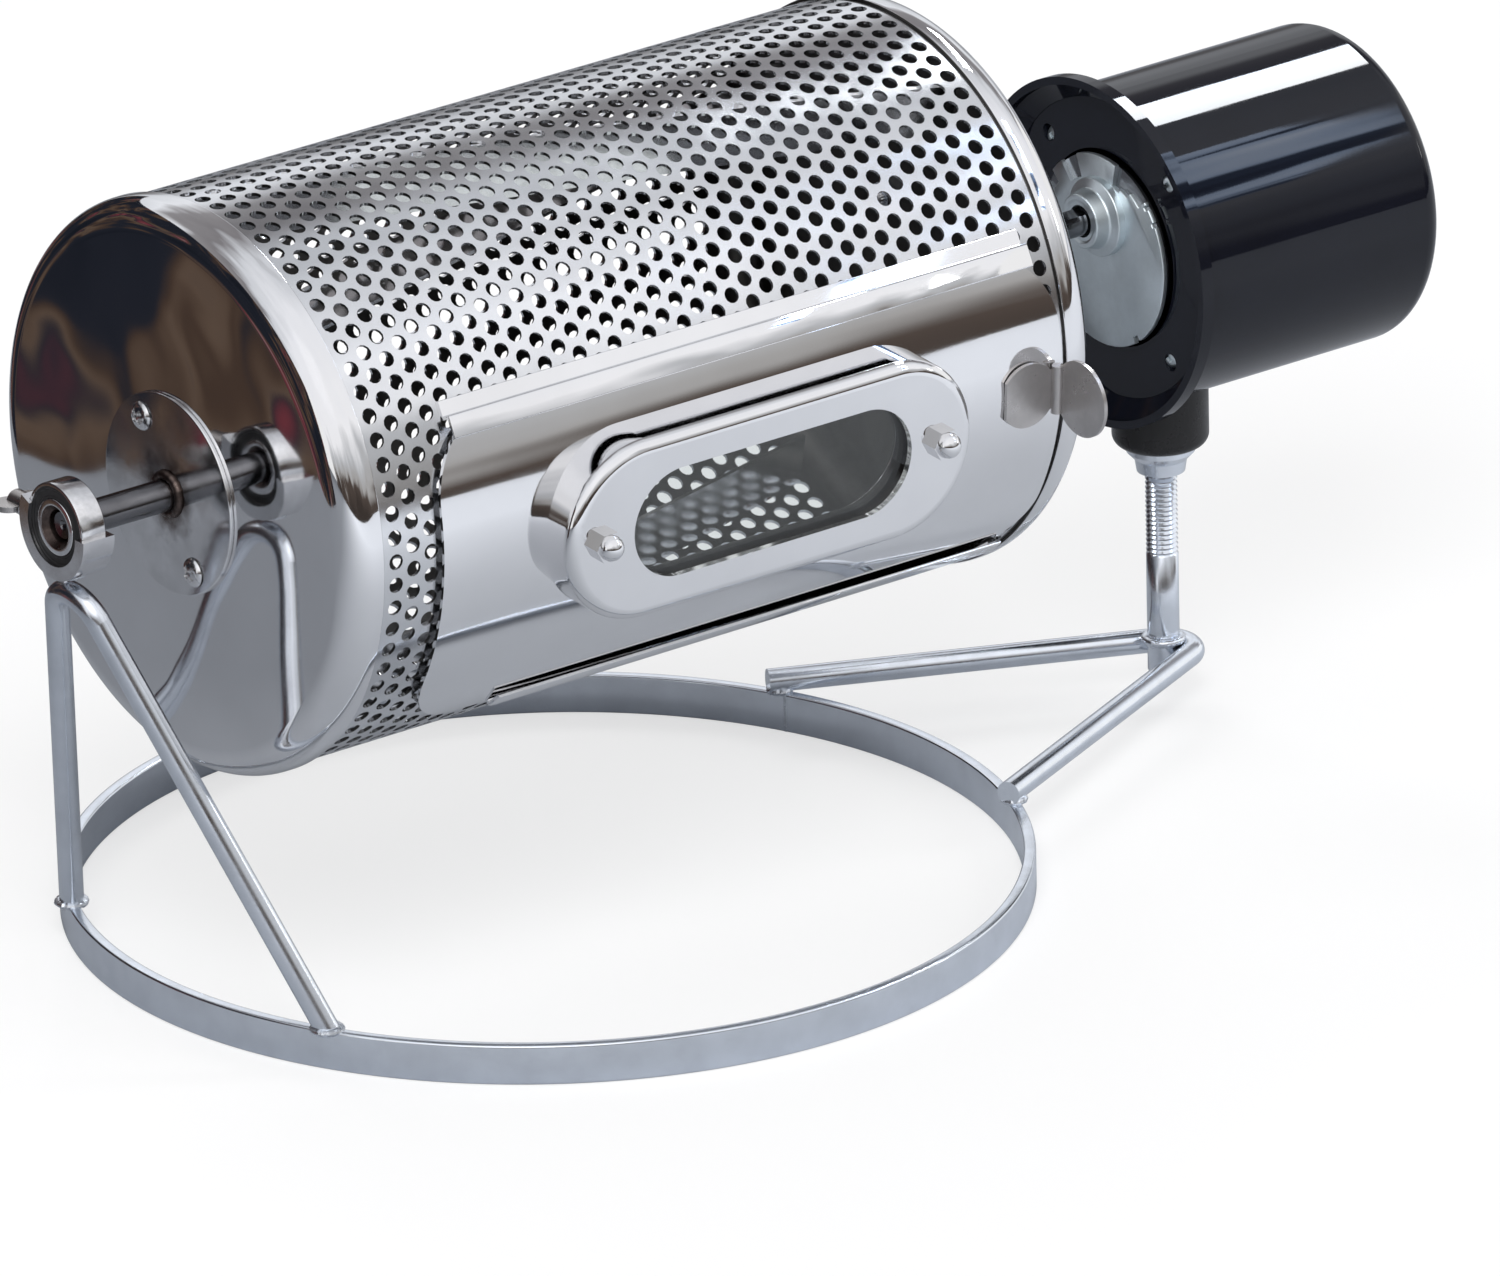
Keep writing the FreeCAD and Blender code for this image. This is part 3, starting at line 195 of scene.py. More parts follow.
def metal_surface():
    """Mottled colour, uneven polish, fine grain and slow waves, shared by every hard finish."""
    found = bpy.data.node_groups.get("worked_surface")
    if found:
        return found
    group, given, out = new_group("worked_surface", [
        ("Light", "Color", (0.8, 0.8, 0.8, 1)), ("Dark", "Color", (0.6, 0.6, 0.6, 1)),
        ("Mottle scale", "Float", 100.0), ("Contrast", "Float", 0.5),
        ("Smooth", "Float", 0.1), ("Rough", "Float", 0.2),
        ("Grain", "Float", 0.1), ("Grain scale", "Float", 2500.0),
        ("Wave", "Float", 0.0), ("Wave scale", "Float", 18.0),
    ], [("Color", "Color"), ("Roughness", "Float"), ("Normal", "Vector")])
    where = add_node(group, "ShaderNodeTexCoord").outputs["Object"]
    patch = add_node(group, "ShaderNodeTexNoise", {
        "Vector": where, "Scale": given.outputs["Mottle scale"], "Detail": 4.0, "Roughness": 0.6})
    spread = range_of(group, patch.outputs[0], 0.36, 0.64, 0.0, 1.0)
    share = reckoned(group, "MULTIPLY", spread, given.outputs["Contrast"])
    tint = mixed(group, share, given.outputs["Light"], given.outputs["Dark"])
    polish = range_of(group, patch.outputs[0], 0.3, 0.7, given.outputs["Smooth"], given.outputs["Rough"])
    grain = add_node(group, "ShaderNodeTexNoise", {
        "Vector": where, "Scale": given.outputs["Grain scale"], "Detail": 2.0})
    slow = add_node(group, "ShaderNodeTexNoise", {
        "Vector": where, "Scale": given.outputs["Wave scale"], "Detail": 1.0})
    wave = add_node(group, "ShaderNodeBump", {
        "Strength": given.outputs["Wave"], "Distance": 2 * MM, "Height": slow.outputs[0]})
    fine = add_node(group, "ShaderNodeBump", {
        "Strength": given.outputs["Grain"], "Distance": 0.05 * MM, "Height": grain.outputs[0],
        "Normal": wave.outputs[0]})
    group.links.new(tint, out.inputs["Color"])
    group.links.new(polish, out.inputs["Roughness"])
    group.links.new(fine.outputs[0], out.inputs["Normal"])
    return group


def heat_mark():
    """A mask that is 1 beside the drum axis and fades out with a ragged edge."""
    found = bpy.data.node_groups.get("heat_mark")
    if found:
        return found
    group, given, out = new_group("heat_mark", [
        ("Inner", "Float", 5 * MM), ("Outer", "Float", 12 * MM),
    ], [("Mask", "Float")])
    where = add_node(group, "ShaderNodeTexCoord").outputs["Object"]
    flat = add_node(group, "ShaderNodeVectorMath", {0: where, 1: (0, 1, 1)}, operation="MULTIPLY")
    off = add_node(group, "ShaderNodeVectorMath", {
        0: flat.outputs[0], 1: (0, 0, AXIS_HEIGHT)}, operation="DISTANCE")
    rag = add_node(group, "ShaderNodeTexNoise", {"Vector": where, "Scale": 260.0, "Detail": 3.0})
    shift = range_of(group, rag.outputs[0], 0.3, 0.7, -2 * MM, 2 * MM)
    reach = reckoned(group, "ADD", off.outputs["Value"], shift)
    mask = range_of(group, reach, given.outputs["Inner"], given.outputs["Outer"], 1.0, 0.0)
    group.links.new(mask, out.inputs["Mask"])
    return group


def rolled_bands():
    """Painted reflection: soft lighter and darker bands painted along the drum, standing in for the room that
    the sheet mirrors.
    """
    found = bpy.data.node_groups.get("rolled_bands")
    if found:
        return found
    group, given, out = new_group("rolled_bands", [("Scale", "Float", 40.0), ("Stretch", "Float", 0.12)],
                                  [("Mask", "Float")])
    where = add_node(group, "ShaderNodeTexCoord").outputs["Object"]
    squeeze = add_node(group, "ShaderNodeCombineXYZ", {0: given.outputs["Stretch"], 1: 1.0, 2: 1.0})
    thin = add_node(group, "ShaderNodeVectorMath", {0: where, 1: squeeze.outputs[0]}, operation="MULTIPLY")
    band = add_node(group, "ShaderNodeTexNoise", {
        "Vector": thin.outputs[0], "Scale": given.outputs["Scale"], "Detail": 2.0})
    group.links.new(range_of(group, band.outputs[0], 0.38, 0.62, 0.0, 1.0), out.inputs["Mask"])
    return group


def shade(colour, factor):
    return tuple(channel * factor for channel in colour) + (1.0,)


# What a finish has where its own row says nothing.
USUAL = dict(contrast=0.5, wave=0.0, wave_scale=18, metallic=1)


def finish_settings():
    """The finish of each material slot: its colour, contrast, polish, grain and waves."""
    pick = colours()
    return {
        "mirror_steel": dict(colour=pick.mirror, dark=0.88, mottle=26, contrast=0.4,
                             smooth=0.03, rough=0.07, grain=0.02, wave=0.14),
        "pressed_steel": dict(colour=pick.mirror, dark=0.84, mottle=22, contrast=0.4,
                              smooth=0.03, rough=0.07, grain=0.02, wave=0.75, wave_scale=22),
        # Painted shade: this dark finish on the drum's inward faces stands for the shade inside the drum.
        "painted_shade_steel": dict(colour=pick.drum_inside_shade, dark=0.5, mottle=45, contrast=0.8,
                              smooth=0.26, rough=0.42, grain=0.2, wave=0.1),
        "polished_steel": dict(colour=pick.mirror, dark=0.66, mottle=120,
                               smooth=0.08, rough=0.2, grain=0.08, wave=0.06),
        "perforated_steel": dict(colour=pick.sheet, dark=0.62, mottle=34, contrast=0.3,
                                 # The sheet's bands are painted reflection: darker bands along the drum.
                                 smooth=0.09, rough=0.2, grain=0.06, wave=0.3, bands=True),
        "zinc_steel": dict(colour=pick.zinc, dark=0.8, mottle=90,
                           smooth=0.13, rough=0.25, grain=0.14, wave=0.05),
        "zinc_plate": dict(colour=pick.pale_zinc, dark=0.8, mottle=130, smooth=0.3, rough=0.46, grain=0.2),
        "satin_steel": dict(colour=pick.satin, dark=0.76, mottle=160, smooth=0.24, rough=0.36, grain=0.25),
        "bearing_steel": dict(colour=pick.mirror, dark=0.62, mottle=300, contrast=0.4,
                              smooth=0.07, rough=0.17, grain=0.05),
        "dark_steel": dict(colour=pick.dark, dark=0.6, mottle=180, smooth=0.12, rough=0.22, grain=0.12),
        "black_enamel": dict(colour=pick.enamel, dark=0.6, mottle=40, contrast=0.4,
                             smooth=0.03, rough=0.07, grain=0.02, wave=0.12, metallic=0, shine=0.28),
        "black_moulding": dict(colour=pick.rubber, dark=0.7, mottle=160, contrast=0.4,
                               smooth=0.22, rough=0.36, grain=0.2, metallic=0, shine=0.28),
        "seal_rubber": dict(colour=pick.rubber, dark=0.6, mottle=240,
                            smooth=0.35, rough=0.5, grain=0.2, metallic=0, shine=0.3),
        "tempered_glass": dict(colour=pick.glass, dark=0.97, mottle=60, contrast=0.4,
                               smooth=0.0, rough=0.03, grain=0.0, metallic=0, glass=True),
        "weld_metal": dict(colour=pick.zinc, dark=0.6, mottle=500, contrast=0.7,
                           smooth=0.2, rough=0.36, grain=0.3),
        # Burnt weld colour, also used as painted shade down the bearing's bore.
        "weld_burn_and_bore_shade": dict(colour=pick.heat, dark=0.4, mottle=420, contrast=0.8,
                           smooth=0.22, rough=0.42, grain=0.4),
    }


def finish(slot, heated=False):
    """The material of a slot, built the first time that it is asked for."""
    name = slot + ("_heated" if heated else "")
    found = bpy.data.materials.get("finish_" + name)
    if found:
        return found
    look = {**USUAL, **finish_settings()[slot]}
    material = bpy.data.materials.new("finish_" + name)
    material.use_nodes = True
    tree = material.node_tree
    shader = tree.nodes["Principled BSDF"]
    surface = add_node(tree, "ShaderNodeGroup", node_tree=metal_surface())
    settings = {
        "Light": shade(look["colour"], 1.0), "Dark": shade(look["colour"], look["dark"]),
        "Mottle scale": look["mottle"], "Contrast": look["contrast"], "Smooth": look["smooth"],
        "Rough": look["rough"], "Grain": look["grain"], "Wave": look["wave"],
        "Wave scale": look["wave_scale"],
    }
    for key, value in settings.items():
        surface.inputs[key].default_value = value
    tint = surface.outputs["Color"]
    # Painted reflection: darker bands along the drum, mixed into the colour.
    if look.get("bands"):
        bands = add_node(tree, "ShaderNodeGroup", node_tree=rolled_bands())
        tint = mixed(tree, bands.outputs["Mask"], tint, shade(look["colour"], 0.72))
    if heated:
        mark = add_node(tree, "ShaderNodeGroup", node_tree=heat_mark())
        tint = mixed(tree, mark.outputs["Mask"], tint, shade(colours().heat, 1.0))
    tree.links.new(tint, shader.inputs["Base Color"])
    tree.links.new(surface.outputs["Roughness"], shader.inputs["Roughness"])
    tree.links.new(surface.outputs["Normal"], shader.inputs["Normal"])
    shader.inputs["Metallic"].default_value = look["metallic"]
    if "shine" in look:
        shader.inputs["Specular IOR Level"].default_value = look["shine"]
    if look.get("glass"):
        shader.inputs["Transmission Weight"].default_value = 1.0
        shader.inputs["IOR"].default_value = 1.47
    return material


# Mesh helpers

def placed(name, data):
    """An object in the scene that shows a mesh, a lamp or a camera."""
    item = bpy.data.objects.new(name, data)
    bpy.context.scene.collection.objects.link(item)
    return item


def new_piece(name, form, slot, body, replaced=(), crease=32, look=None, heated=False):
    """A mesh piece that rides on a body, in the finish of a slot or a look of its own."""
    verts, faces = form
    mesh = bpy.data.meshes.new(name)
    mesh.from_pydata([tuple(v) for v in verts], [], faces)
    closeness = 0.0002 * MM
    shape = bmesh.new()
    shape.from_mesh(mesh)
    bmesh.ops.remove_doubles(shape, verts=shape.verts, dist=closeness)
    bmesh.ops.dissolve_degenerate(shape, dist=closeness, edges=shape.edges)
    bmesh.ops.recalc_face_normals(shape, faces=shape.faces)
    shape.to_mesh(mesh)
    shape.free()
    mesh.shade_smooth()
    mesh.set_sharp_from_angle(angle=math.radians(crease))
    piece = placed(name, mesh)
    mesh.materials.append(finish(look or slot, heated))
    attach(piece, body)
    if replaced:
        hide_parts(*replaced)
    return piece


def line_faces(piece, look, chosen):
    """Give the chosen faces of a piece a second finish."""
    piece.data.materials.append(finish(look))
    for face in piece.data.polygons:
        if chosen(face):
            face.material_index = 1


def looks_inward(weights):
    """A test for faces that look toward the drum's middle, with weights on the three directions."""
    low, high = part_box("drum_shell")
    middle = (low + high) / 2

    def test(face):
        away = (face.center - middle) * weights
        return face.normal.dot(away.normalized()) < -0.5

    return test


def eased(corners, steps=6):
    """A closed outline whose corners (along, radius, bend) are rounded where the bend is above zero."""
    points = []
    count = len(corners)
    for i, (a, r, bend) in enumerate(corners):
        here = Vector((a, r))
        if bend <= 0:
            points.append(here)
            continue
        back = (Vector(corners[i - 1][:2]) - here).normalized()
        onward = (Vector(corners[(i + 1) % count][:2]) - here).normalized()
        half = back.angle(onward) / 2
        centre = here + (back + onward).normalized() * (bend / math.sin(half))
        first = here + back * (bend / math.tan(half)) - centre
        last = here + onward * (bend / math.tan(half)) - centre
        sweep = first.angle(last)
        for k in range(steps + 1):
            t = k / steps
            spoke = first * math.sin((1 - t) * sweep) + last * math.sin(t * sweep)
            points.append(centre + spoke / math.sin(sweep))
    return points


def ring_faces(turns, rows):
    """Faces between closed loops of points that stand round an axis."""
    faces = []
    for k in range(turns):
        after = (k + 1) % turns
        for i in range(rows):
            j = (i + 1) % rows
            faces.append((k * rows + i, after * rows + i, after * rows + j, k * rows + j))
    return faces


def turned(profile, start, axis, segments=128, side=None):
    """A turned form: the profile is a closed loop of (along, radius)."""
    if side is None:
        side = BACK if axis is ALONG else ALONG
    up = axis.cross(side)
    verts = []
    for k in range(segments):
        turn = 2 * math.pi * k / segments
        out = side * math.cos(turn) + up * math.sin(turn)
        verts.extend(start + axis * a + out * r for a, r in profile)
    return verts, ring_faces(segments, len(profile))


def on_axis(x):
    """The place on the drum's axis at a distance along it."""
    return Vector((x, 0, AXIS_HEIGHT))


def turned_box(node):
    """Where a node that is turned about the drum's axis starts and ends, and its outer radius."""
    low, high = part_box(node)
    return low.x, high.x, (high.z - low.z) / 2


def swept(outline, place_of, stations):
    """A closed outline carried through stations, with flat ends: place_of gives each point."""
    verts = []
    faces = []
    rows = len(outline)
    for station in stations:
        verts.extend(place_of(point, station) for point in outline)
    for k in range(len(stations) - 1):
        for i in range(rows):
            j = (i + 1) % rows
            faces.append((k * rows + i, k * rows + j, (k + 1) * rows + j, (k + 1) * rows + i))
    faces.append(tuple(reversed(range(rows))))
    faces.append(tuple((len(stations) - 1) * rows + i for i in range(rows)))
    return verts, faces


def joined(*forms):
    """Several lists of points and faces as one."""
    verts = []
    faces = []
    for more_verts, more_faces in forms:
        start = len(verts)
        verts.extend(more_verts)
        faces.extend(tuple(i + start for i in face) for face in more_faces)
    return verts, faces


def lumpy_ring(centre, axis, radius, thick, seed, segments=56, sides=12, flat=1.0):
    """A weld bead laid round an axis, with the ripples and lumps of a hand weld."""
    side = axis.orthogonal().normalized()
    up = axis.cross(side).normalized()
    verts = []
    for k in range(segments):
        turn = 2 * math.pi * k / segments
        out = side * math.cos(turn) + up * math.sin(turn)
        lumps = 0.22 * noise.noise(out * 2.4 + Vector((seed, 0, 0)))
        ripples = 0.06 * math.sin(turn * 17)
        swell = 1 + lumps + ripples
        for i in range(sides):
            lean = 2 * math.pi * i / sides
            reach = radius + math.cos(lean) * thick * swell
            verts.append(centre + out * reach + axis * (math.sin(lean) * thick * swell * flat))
    return verts, ring_faces(segments, sides)


def cross_screw(at, way, length):
    """A domed screw with a cross recess and a ridged thread."""
    size = sizes()
    head = size.screw_head
    height = size.screw_height
    thread = size.screw_thread / 2
    side = way.orthogonal().normalized()
    up = way.cross(side).normalized()
    rings = 22
    spokes = 72
    roundness = 0.94
    slot = head * 0.075
    reach = head * 0.27
    recess = height * 0.55
    verts = [at - way * (height - recess)]
    for j in range(1, rings + 1):
        r = head / 2 * j / rings
        dome = height * math.sqrt(1 - (j / rings) ** 2 * roundness)
        for k in range(spokes):
            turn = 2 * math.pi * k / spokes
            a, b = r * math.cos(turn), r * math.sin(turn)
            near, far = min(abs(a), abs(b)), max(abs(a), abs(b))
            inside = near < slot and far < reach
            sink = recess * (1 - 0.5 * far / reach) if inside else 0
            verts.append(at - way * (dome - sink) + side * a + up * b)
    faces = [(0, 1 + k, 1 + (k + 1) % spokes) for k in range(spokes)]
    for j in range(rings - 1):
        for k in range(spokes):
            after = (k + 1) % spokes
            first = 1 + j * spokes
            faces.append((first + k, first + spokes + k, first + spokes + after, first + after))
    pitch = 0.7 * MM
    root = thread - 0.3 * MM
    stem = [(0, head / 2)]
    for k in range(int(length / pitch)):
        stem += [(k * pitch, root), ((k + 0.5) * pitch, thread)]
    stem += [(length, root), (length, 0), (0, 0)]
    return joined((verts, faces), turned(stem, at, way, 36, side))


# The drum

def mouth_gap(u, v, middle, half_length, half_height, corner):
    """Distance from a point on the unrolled sheet to the mouth's outline, and the way out of it."""
    du = abs(u - middle) - (half_length - corner)
    dv = abs(v) - (half_height - corner)
    su = math.copysign(1, u - middle)
    sv = math.copysign(1, v)
    if du > 0 and dv > 0:
        away = math.hypot(du, dv)
        return away - corner, (su * du / away, sv * dv / away)
    if du > dv:
        return du - corner, (su, 0)
    return dv - corner, (0, sv)


def sheet_form():
    """The drum sheet, unrolled into six-sided cells, each with one hole, and rolled up again."""
    size = sizes()
    left, right, radius = turned_box("drum_shell")
    door_low, door_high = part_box("door_panel")
    around = size.hole_count
    visible = right - left - 2 * size.cap_overlap
    first_row = left + size.cap_overlap + size.row_margin
    step = (visible - 2 * size.row_margin) / (size.row_count - 1)
    pitch = 2 * math.pi * radius / around
    mouth = dict(
        middle=(door_low.x + door_high.x) / 2,
        half_length=(door_high.x - door_low.x) / 2 - size.mouth_inset,
        half_height=radius * size.mouth_half_turn,
        corner=size.mouth_corner,
    )
    # Twelve points round one cell, in sixths of a row's step and quarters of a hole's pitch.
    rim = [(4, 0), (3, 1), (2, 2), (0, 2), (-2, 2), (-3, 1), (-4, 0), (-3, -1), (-2, -2), (0, -2), (2, -2),
           (3, -1)]
    sides = len(rim)
    hole = size.hole_width / 2
    touching = 0.001 * MM
    flat = []
    number = {}

    def spot(across, round_):
        return first_row + across * step / 6, round_ * pitch / 4

    def gap_at(u, v):
        turn = v / radius - size.door_turn
        from_door = ((turn + math.pi) % (2 * math.pi) - math.pi) * radius
        return mouth_gap(u, from_door, **mouth)

    def within(u):
        return min(max(u, left), right)

    def corner_of(across, round_):
        key = (across, round_ % (4 * around))
        if key not in number:
            u, v = spot(*key)
            near, way = gap_at(u, v)
            if near < 0:
                u -= way[0] * near
                v -= way[1] * near
            number[key] = len(flat)
            flat.append((within(u), v))
        return number[key]

    faces = []
    for row in range(-1, size.row_count + 1):
        for k in range(around):
            across = row * 6
            round_ = k * 4 + 2 * (row % 2)
            if max(gap_at(*spot(across + a, round_ + b))[0] for a, b in rim) < touching:
                continue
            border = [corner_of(across + a, round_ + b) for a, b in rim]
            u, v = spot(across, round_)
            middle_gap = gap_at(u, v)[0]
            start = len(flat)
            if 0 <= row < size.row_count and middle_gap > size.plain_margin:
                for i in range(sides):
                    turn = 2 * math.pi * i / sides
                    flat.append((u + hole * math.cos(turn), v + hole * math.sin(turn)))
                for i in range(sides):
                    j = (i + 1) % sides
                    faces.append((border[i], border[j], start + j, start + i))
            elif middle_gap > 0:
                flat.append((within(u), v))
                for i in range(sides):
                    faces.append((border[i], border[(i + 1) % sides], start))
            else:
                faces.append(tuple(border))
    count = len(flat)
    verts = []
    for reach in (radius, radius - size.sheet_wall):
        for u, v in flat:
            turn = v / radius
            verts.append((u, -reach * math.cos(turn), AXIS_HEIGHT + reach * math.sin(turn)))
    edges = dict.fromkeys((a, face[(i + 1) % len(face)]) for face in faces for i, a in enumerate(face))
    shell = list(faces)
    shell += [tuple(i + count for i in reversed(face)) for face in faces]
    shell += [(a, a + count, b + count, b) for a, b in edges if (b, a) not in edges]
    return verts, shell


class ROASTER_OT_sheet(bpy.types.Operator):
    """Roll the perforated drum sheet with its door mouth"""

    bl_idname = "roaster.sheet"
    bl_label = "Perforated sheet"

    def execute(self, context):
        sheet = new_piece("perforated_sheet", sheet_form(), "perforated_steel", "drum", ("drum_shell",),
                          crease=40)
        # Painted shade on the sheet's inward faces.
        line_faces(sheet, "painted_shade_steel", looks_inward(Vector((0, 1, 1))))
        return {"FINISHED"}


class ROASTER_OT_caps(bpy.types.Operator):
    """Press the two end caps and their hub plates"""

    bl_idname = "roaster.caps"
    bl_label = "End caps"

    def execute(self, context):
        size = sizes()
        wall = size.sheet_wall
        bend = size.cap_round
        bore = size.cap_bore
        lip = 0.35 * MM
        for side, way, bead_gap, seed in (("left", 1, 0.7 * MM, 3.0), ("right", -1, 3.4 * MM, 4.0)):
            left, right, radius = turned_box("drum_cap_" + side)
            depth = right - left
            profile = eased([
                (0, bore, 0), (0, radius, bend), (depth, radius, lip), (depth, radius - wall, 0),
                (wall, radius - wall, bend - wall), (wall, bore, 0),
            ], steps=14)
            outside = on_axis(left if way > 0 else right)
            shell = turned([(a * way, r) for a, r in profile], outside, ALONG, 192)
            cap = new_piece("end_cap_" + side, shell, "mirror_steel", "drum", ("drum_cap_" + side,),
                            look="pressed_steel", heated=True)
            # Painted shade on the cap's inward faces.
            line_faces(cap, "painted_shade_steel", looks_inward(Vector((1, 1, 1))))
            left, right, radius = turned_box("hub_plate_" + side)
            thick = right - left
            profile = eased([(0, bore, 0), (0, radius, lip), (thick, radius, lip), (thick, bore, 0)], steps=4)
            new_piece("hub_disc_" + side, turned(profile, on_axis(left), ALONG), "polished_steel", "drum",
                      ("hub_plate_" + side,), heated=True)
            outside = on_axis(left if way > 0 else right)
            bead = lumpy_ring(outside, ALONG, bore + bead_gap, size.weld_thick, seed)
            new_piece("shaft_weld_" + side, bead, "dark_steel", "drum", look="weld_burn_and_bore_shade")
        return {"FINISHED"}


def rail_form(side, start, end):
    """A folded rail: a foot on the sheet, a riser, and a lip that leans out over the door's edge."""
    size = sizes()
    sheet = turned_box("drum_shell")[2]
    wall = size.sheet_wall
    foot = 5.1 * MM
    riser = 1.2 * MM
    over = 4.3 * MM
    lip = sheet + 2.6 * MM
    lean = 0.5 * MM
    corners = [
        (foot, sheet, 0), (foot, sheet + wall, 0.25 * MM), (riser, sheet + wall, 0.35 * MM),
        (riser, lip + wall, 0.7 * MM), (-over, lip + wall + lean, 0.3 * MM), (-over, lip + lean, 0.2 * MM),
        (riser - wall, lip, 0.25 * MM), (riser - wall, sheet, 0),
    ]

    def on_drum(point, station):
        turn = size.door_turn + side * (size.door_half_turn + point[0] / sheet)
        along, shrink = station
        reach = sheet + (point[1] - sheet) * shrink
        return Vector((along, -reach * math.cos(turn), AXIS_HEIGHT + reach * math.sin(turn)))

    soft = 0.3 * MM
    worn = 0.93
    stations = [(start, worn), (start + soft, 1.0), (end - soft, 1.0), (end, worn)]
    return swept(eased(corners, steps=4), on_drum, stations)


class ROASTER_OT_rails(bpy.types.Operator):
    """Fold the two rails that the door slides in"""

    bl_idname = "roaster.rails"
    bl_label = "Door rails"

    def execute(self, context):
        door_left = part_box("door_panel")[0].x
        for name, side in (("upper", 1), ("lower", -1)):
            node = "door_rail_" + name
            low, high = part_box(node)
            start = low.x if side > 0 else door_left + sizes().rail_start
            new_piece("folded_rail_" + name, rail_form(side, start, high.x), "mirror_steel", "drum", (node,),
                      crease=60)
        return {"FINISHED"}


class ROASTER_OT_bearing(bpy.types.Operator):
    """Turn the ball bearing's rings and seals and the end of the drum's shaft"""

    bl_idname = "roaster.bearing"
    bl_label = "Bearing and shaft"

    def execute(self, context):
        left, right, outside = turned_box("bearing_outer_ring")
        start = on_axis(left)
        width = right - left
        seal_edge = 10.2 * MM
        groove = 9.7 * MM
        groove_depth = 0.9 * MM
        bend = 0.45 * MM
        ring = eased([
            (0, seal_edge, 0), (0, outside, bend), (width, outside, bend), (width, seal_edge, 0),
            (width - groove_depth, groove, 0), (groove_depth, groove, 0),
        ])
        new_piece("outer_race", turned(ring, start, ALONG), "bearing_steel", "stand", ("bearing_outer_ring",))
        # A seal's section in millimetres: depth under the ring's face and radius.
        seal = [(0.3, 7.1), (0.3, 7.5), (0.5, 7.8), (0.5, 9.2), (0.22, 9.5), (0.22, 10.1), (0.95, 10.1),
                (0.95, 7.1)]
        front = [(a * MM, r * MM) for a, r in seal]
        rear = [(width - a, r) for a, r in front]
        seals = joined(turned(front, start, ALONG), turned(rear, start, ALONG))
        new_piece("seals", seals, "seal_rubber", "stand", ("bearing_seals",))
        land = 7.0 * MM
        mouth = 5.5 * MM
        mouth_depth = 1.3 * MM
        bore = 4.02 * MM
        inner = eased([
            (0, mouth, 0.1 * MM), (0, land, 0.3 * MM), (width, land, 0.3 * MM), (width, mouth, 0.1 * MM),
            (width - mouth_depth, bore, 0), (mouth_depth, bore, 0),
        ], steps=4)
        race = new_piece("inner_race", turned(inner, start, ALONG), "bearing_steel", "drum",
                         ("bearing_inner_ring",))
        # Painted shade: the faces down the inner race's bore take the dark weld finish.
        line_faces(race, "weld_burn_and_bore_shade", lambda face: math.hypot(
            face.center.y, face.center.z - AXIS_HEIGHT) < mouth - 0.2 * MM)
        left, right, thick = turned_box("drum_shaft")
        length = right - left
        edge = 0.5 * MM
        shaft = [
            (3.0 * MM, 0), (1.6 * MM, 1.3 * MM), (1.4 * MM, thick - 0.7 * MM), (2.0 * MM, thick),
            (length - edge, thick), (length, thick - edge), (length, 0),
        ]
        new_piece("turned_shaft", turned(shaft, on_axis(left), ALONG, 64), "dark_steel", "drum",
                  ("drum_shaft",))
        return {"FINISHED"}


class ROASTER_OT_gearbox(bpy.types.Operator):
    """Stamp the gearbox's notched front plate and turn its output boss"""

    bl_idname = "roaster.gearbox"
    bl_label = "Gearbox front"

    def execute(self, context):
        size = sizes()
        low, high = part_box("gearbox_plate")
        middle = (low + high) / 2
        outside = min(size.plate_radius, (high.z - low.z) / 2)
        # Each notch in the rim: its first and last degree, from the top toward the front, and the radius
        # that it leaves in millimetres.
        notches = [(15, 24, 18.5), (24, 33, 19.5), (33, 45, 21.3), (47, 50, 23.2), (58, 61, 23.4),
                   (143, 148, 22.8), (206, 210, 22.6), (298, 310, 21.0), (322, 338, 18.6)]
        outline = []
        for k in range(720):
            turn = k / 2
            reach = min([outside] + [left * MM for first, last, left in notches if first <= turn < last])
            outline.append((-reach * math.sin(math.radians(turn)), reach * math.cos(math.radians(turn))))

        def on_plate(point, station):
            along, shrink = station
            return Vector((along, middle.y + point[0] * shrink, middle.z + point[1] * shrink))

        soft = 0.2 * MM
        stations = [(low.x, 0.992), (low.x + soft, 1.0), (high.x, 1.0)]
        new_piece("notched_plate", swept(outline, on_plate, stations), "zinc_plate", "stand",
                  ("gearbox_plate",), crease=50)
        low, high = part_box("output_boss")
        middle = (low + high) / 2
        length = high.x - low.x
        outside = (high.z - low.z) / 2
        bore = 4.1 * MM
        dish = 0.35 * MM
        profile = eased([
            (dish, bore, 0), (dish, outside * 0.5, 0.1 * MM), (0, outside * 0.56, 0.2 * MM),
            (0, outside * 0.68, 0.5 * MM), (length * 0.55, outside * 0.76, 0.8 * MM),
            (length * 0.7, outside, 0.5 * MM), (length, outside, 0), (length, bore, 0),
        ])
        boss = turned(profile, Vector((low.x, middle.y, middle.z)), ALONG, 96)
        new_piece("turned_boss", boss, "zinc_plate", "stand", ("output_boss",))
        # Painted shade: the gearbox case takes the dark steel finish so that it shows as shade through the
        # plate's notches.
        for place in NODES["gearbox_case"].material_slots:
            place.material = finish("dark_steel")
        return {"FINISHED"}


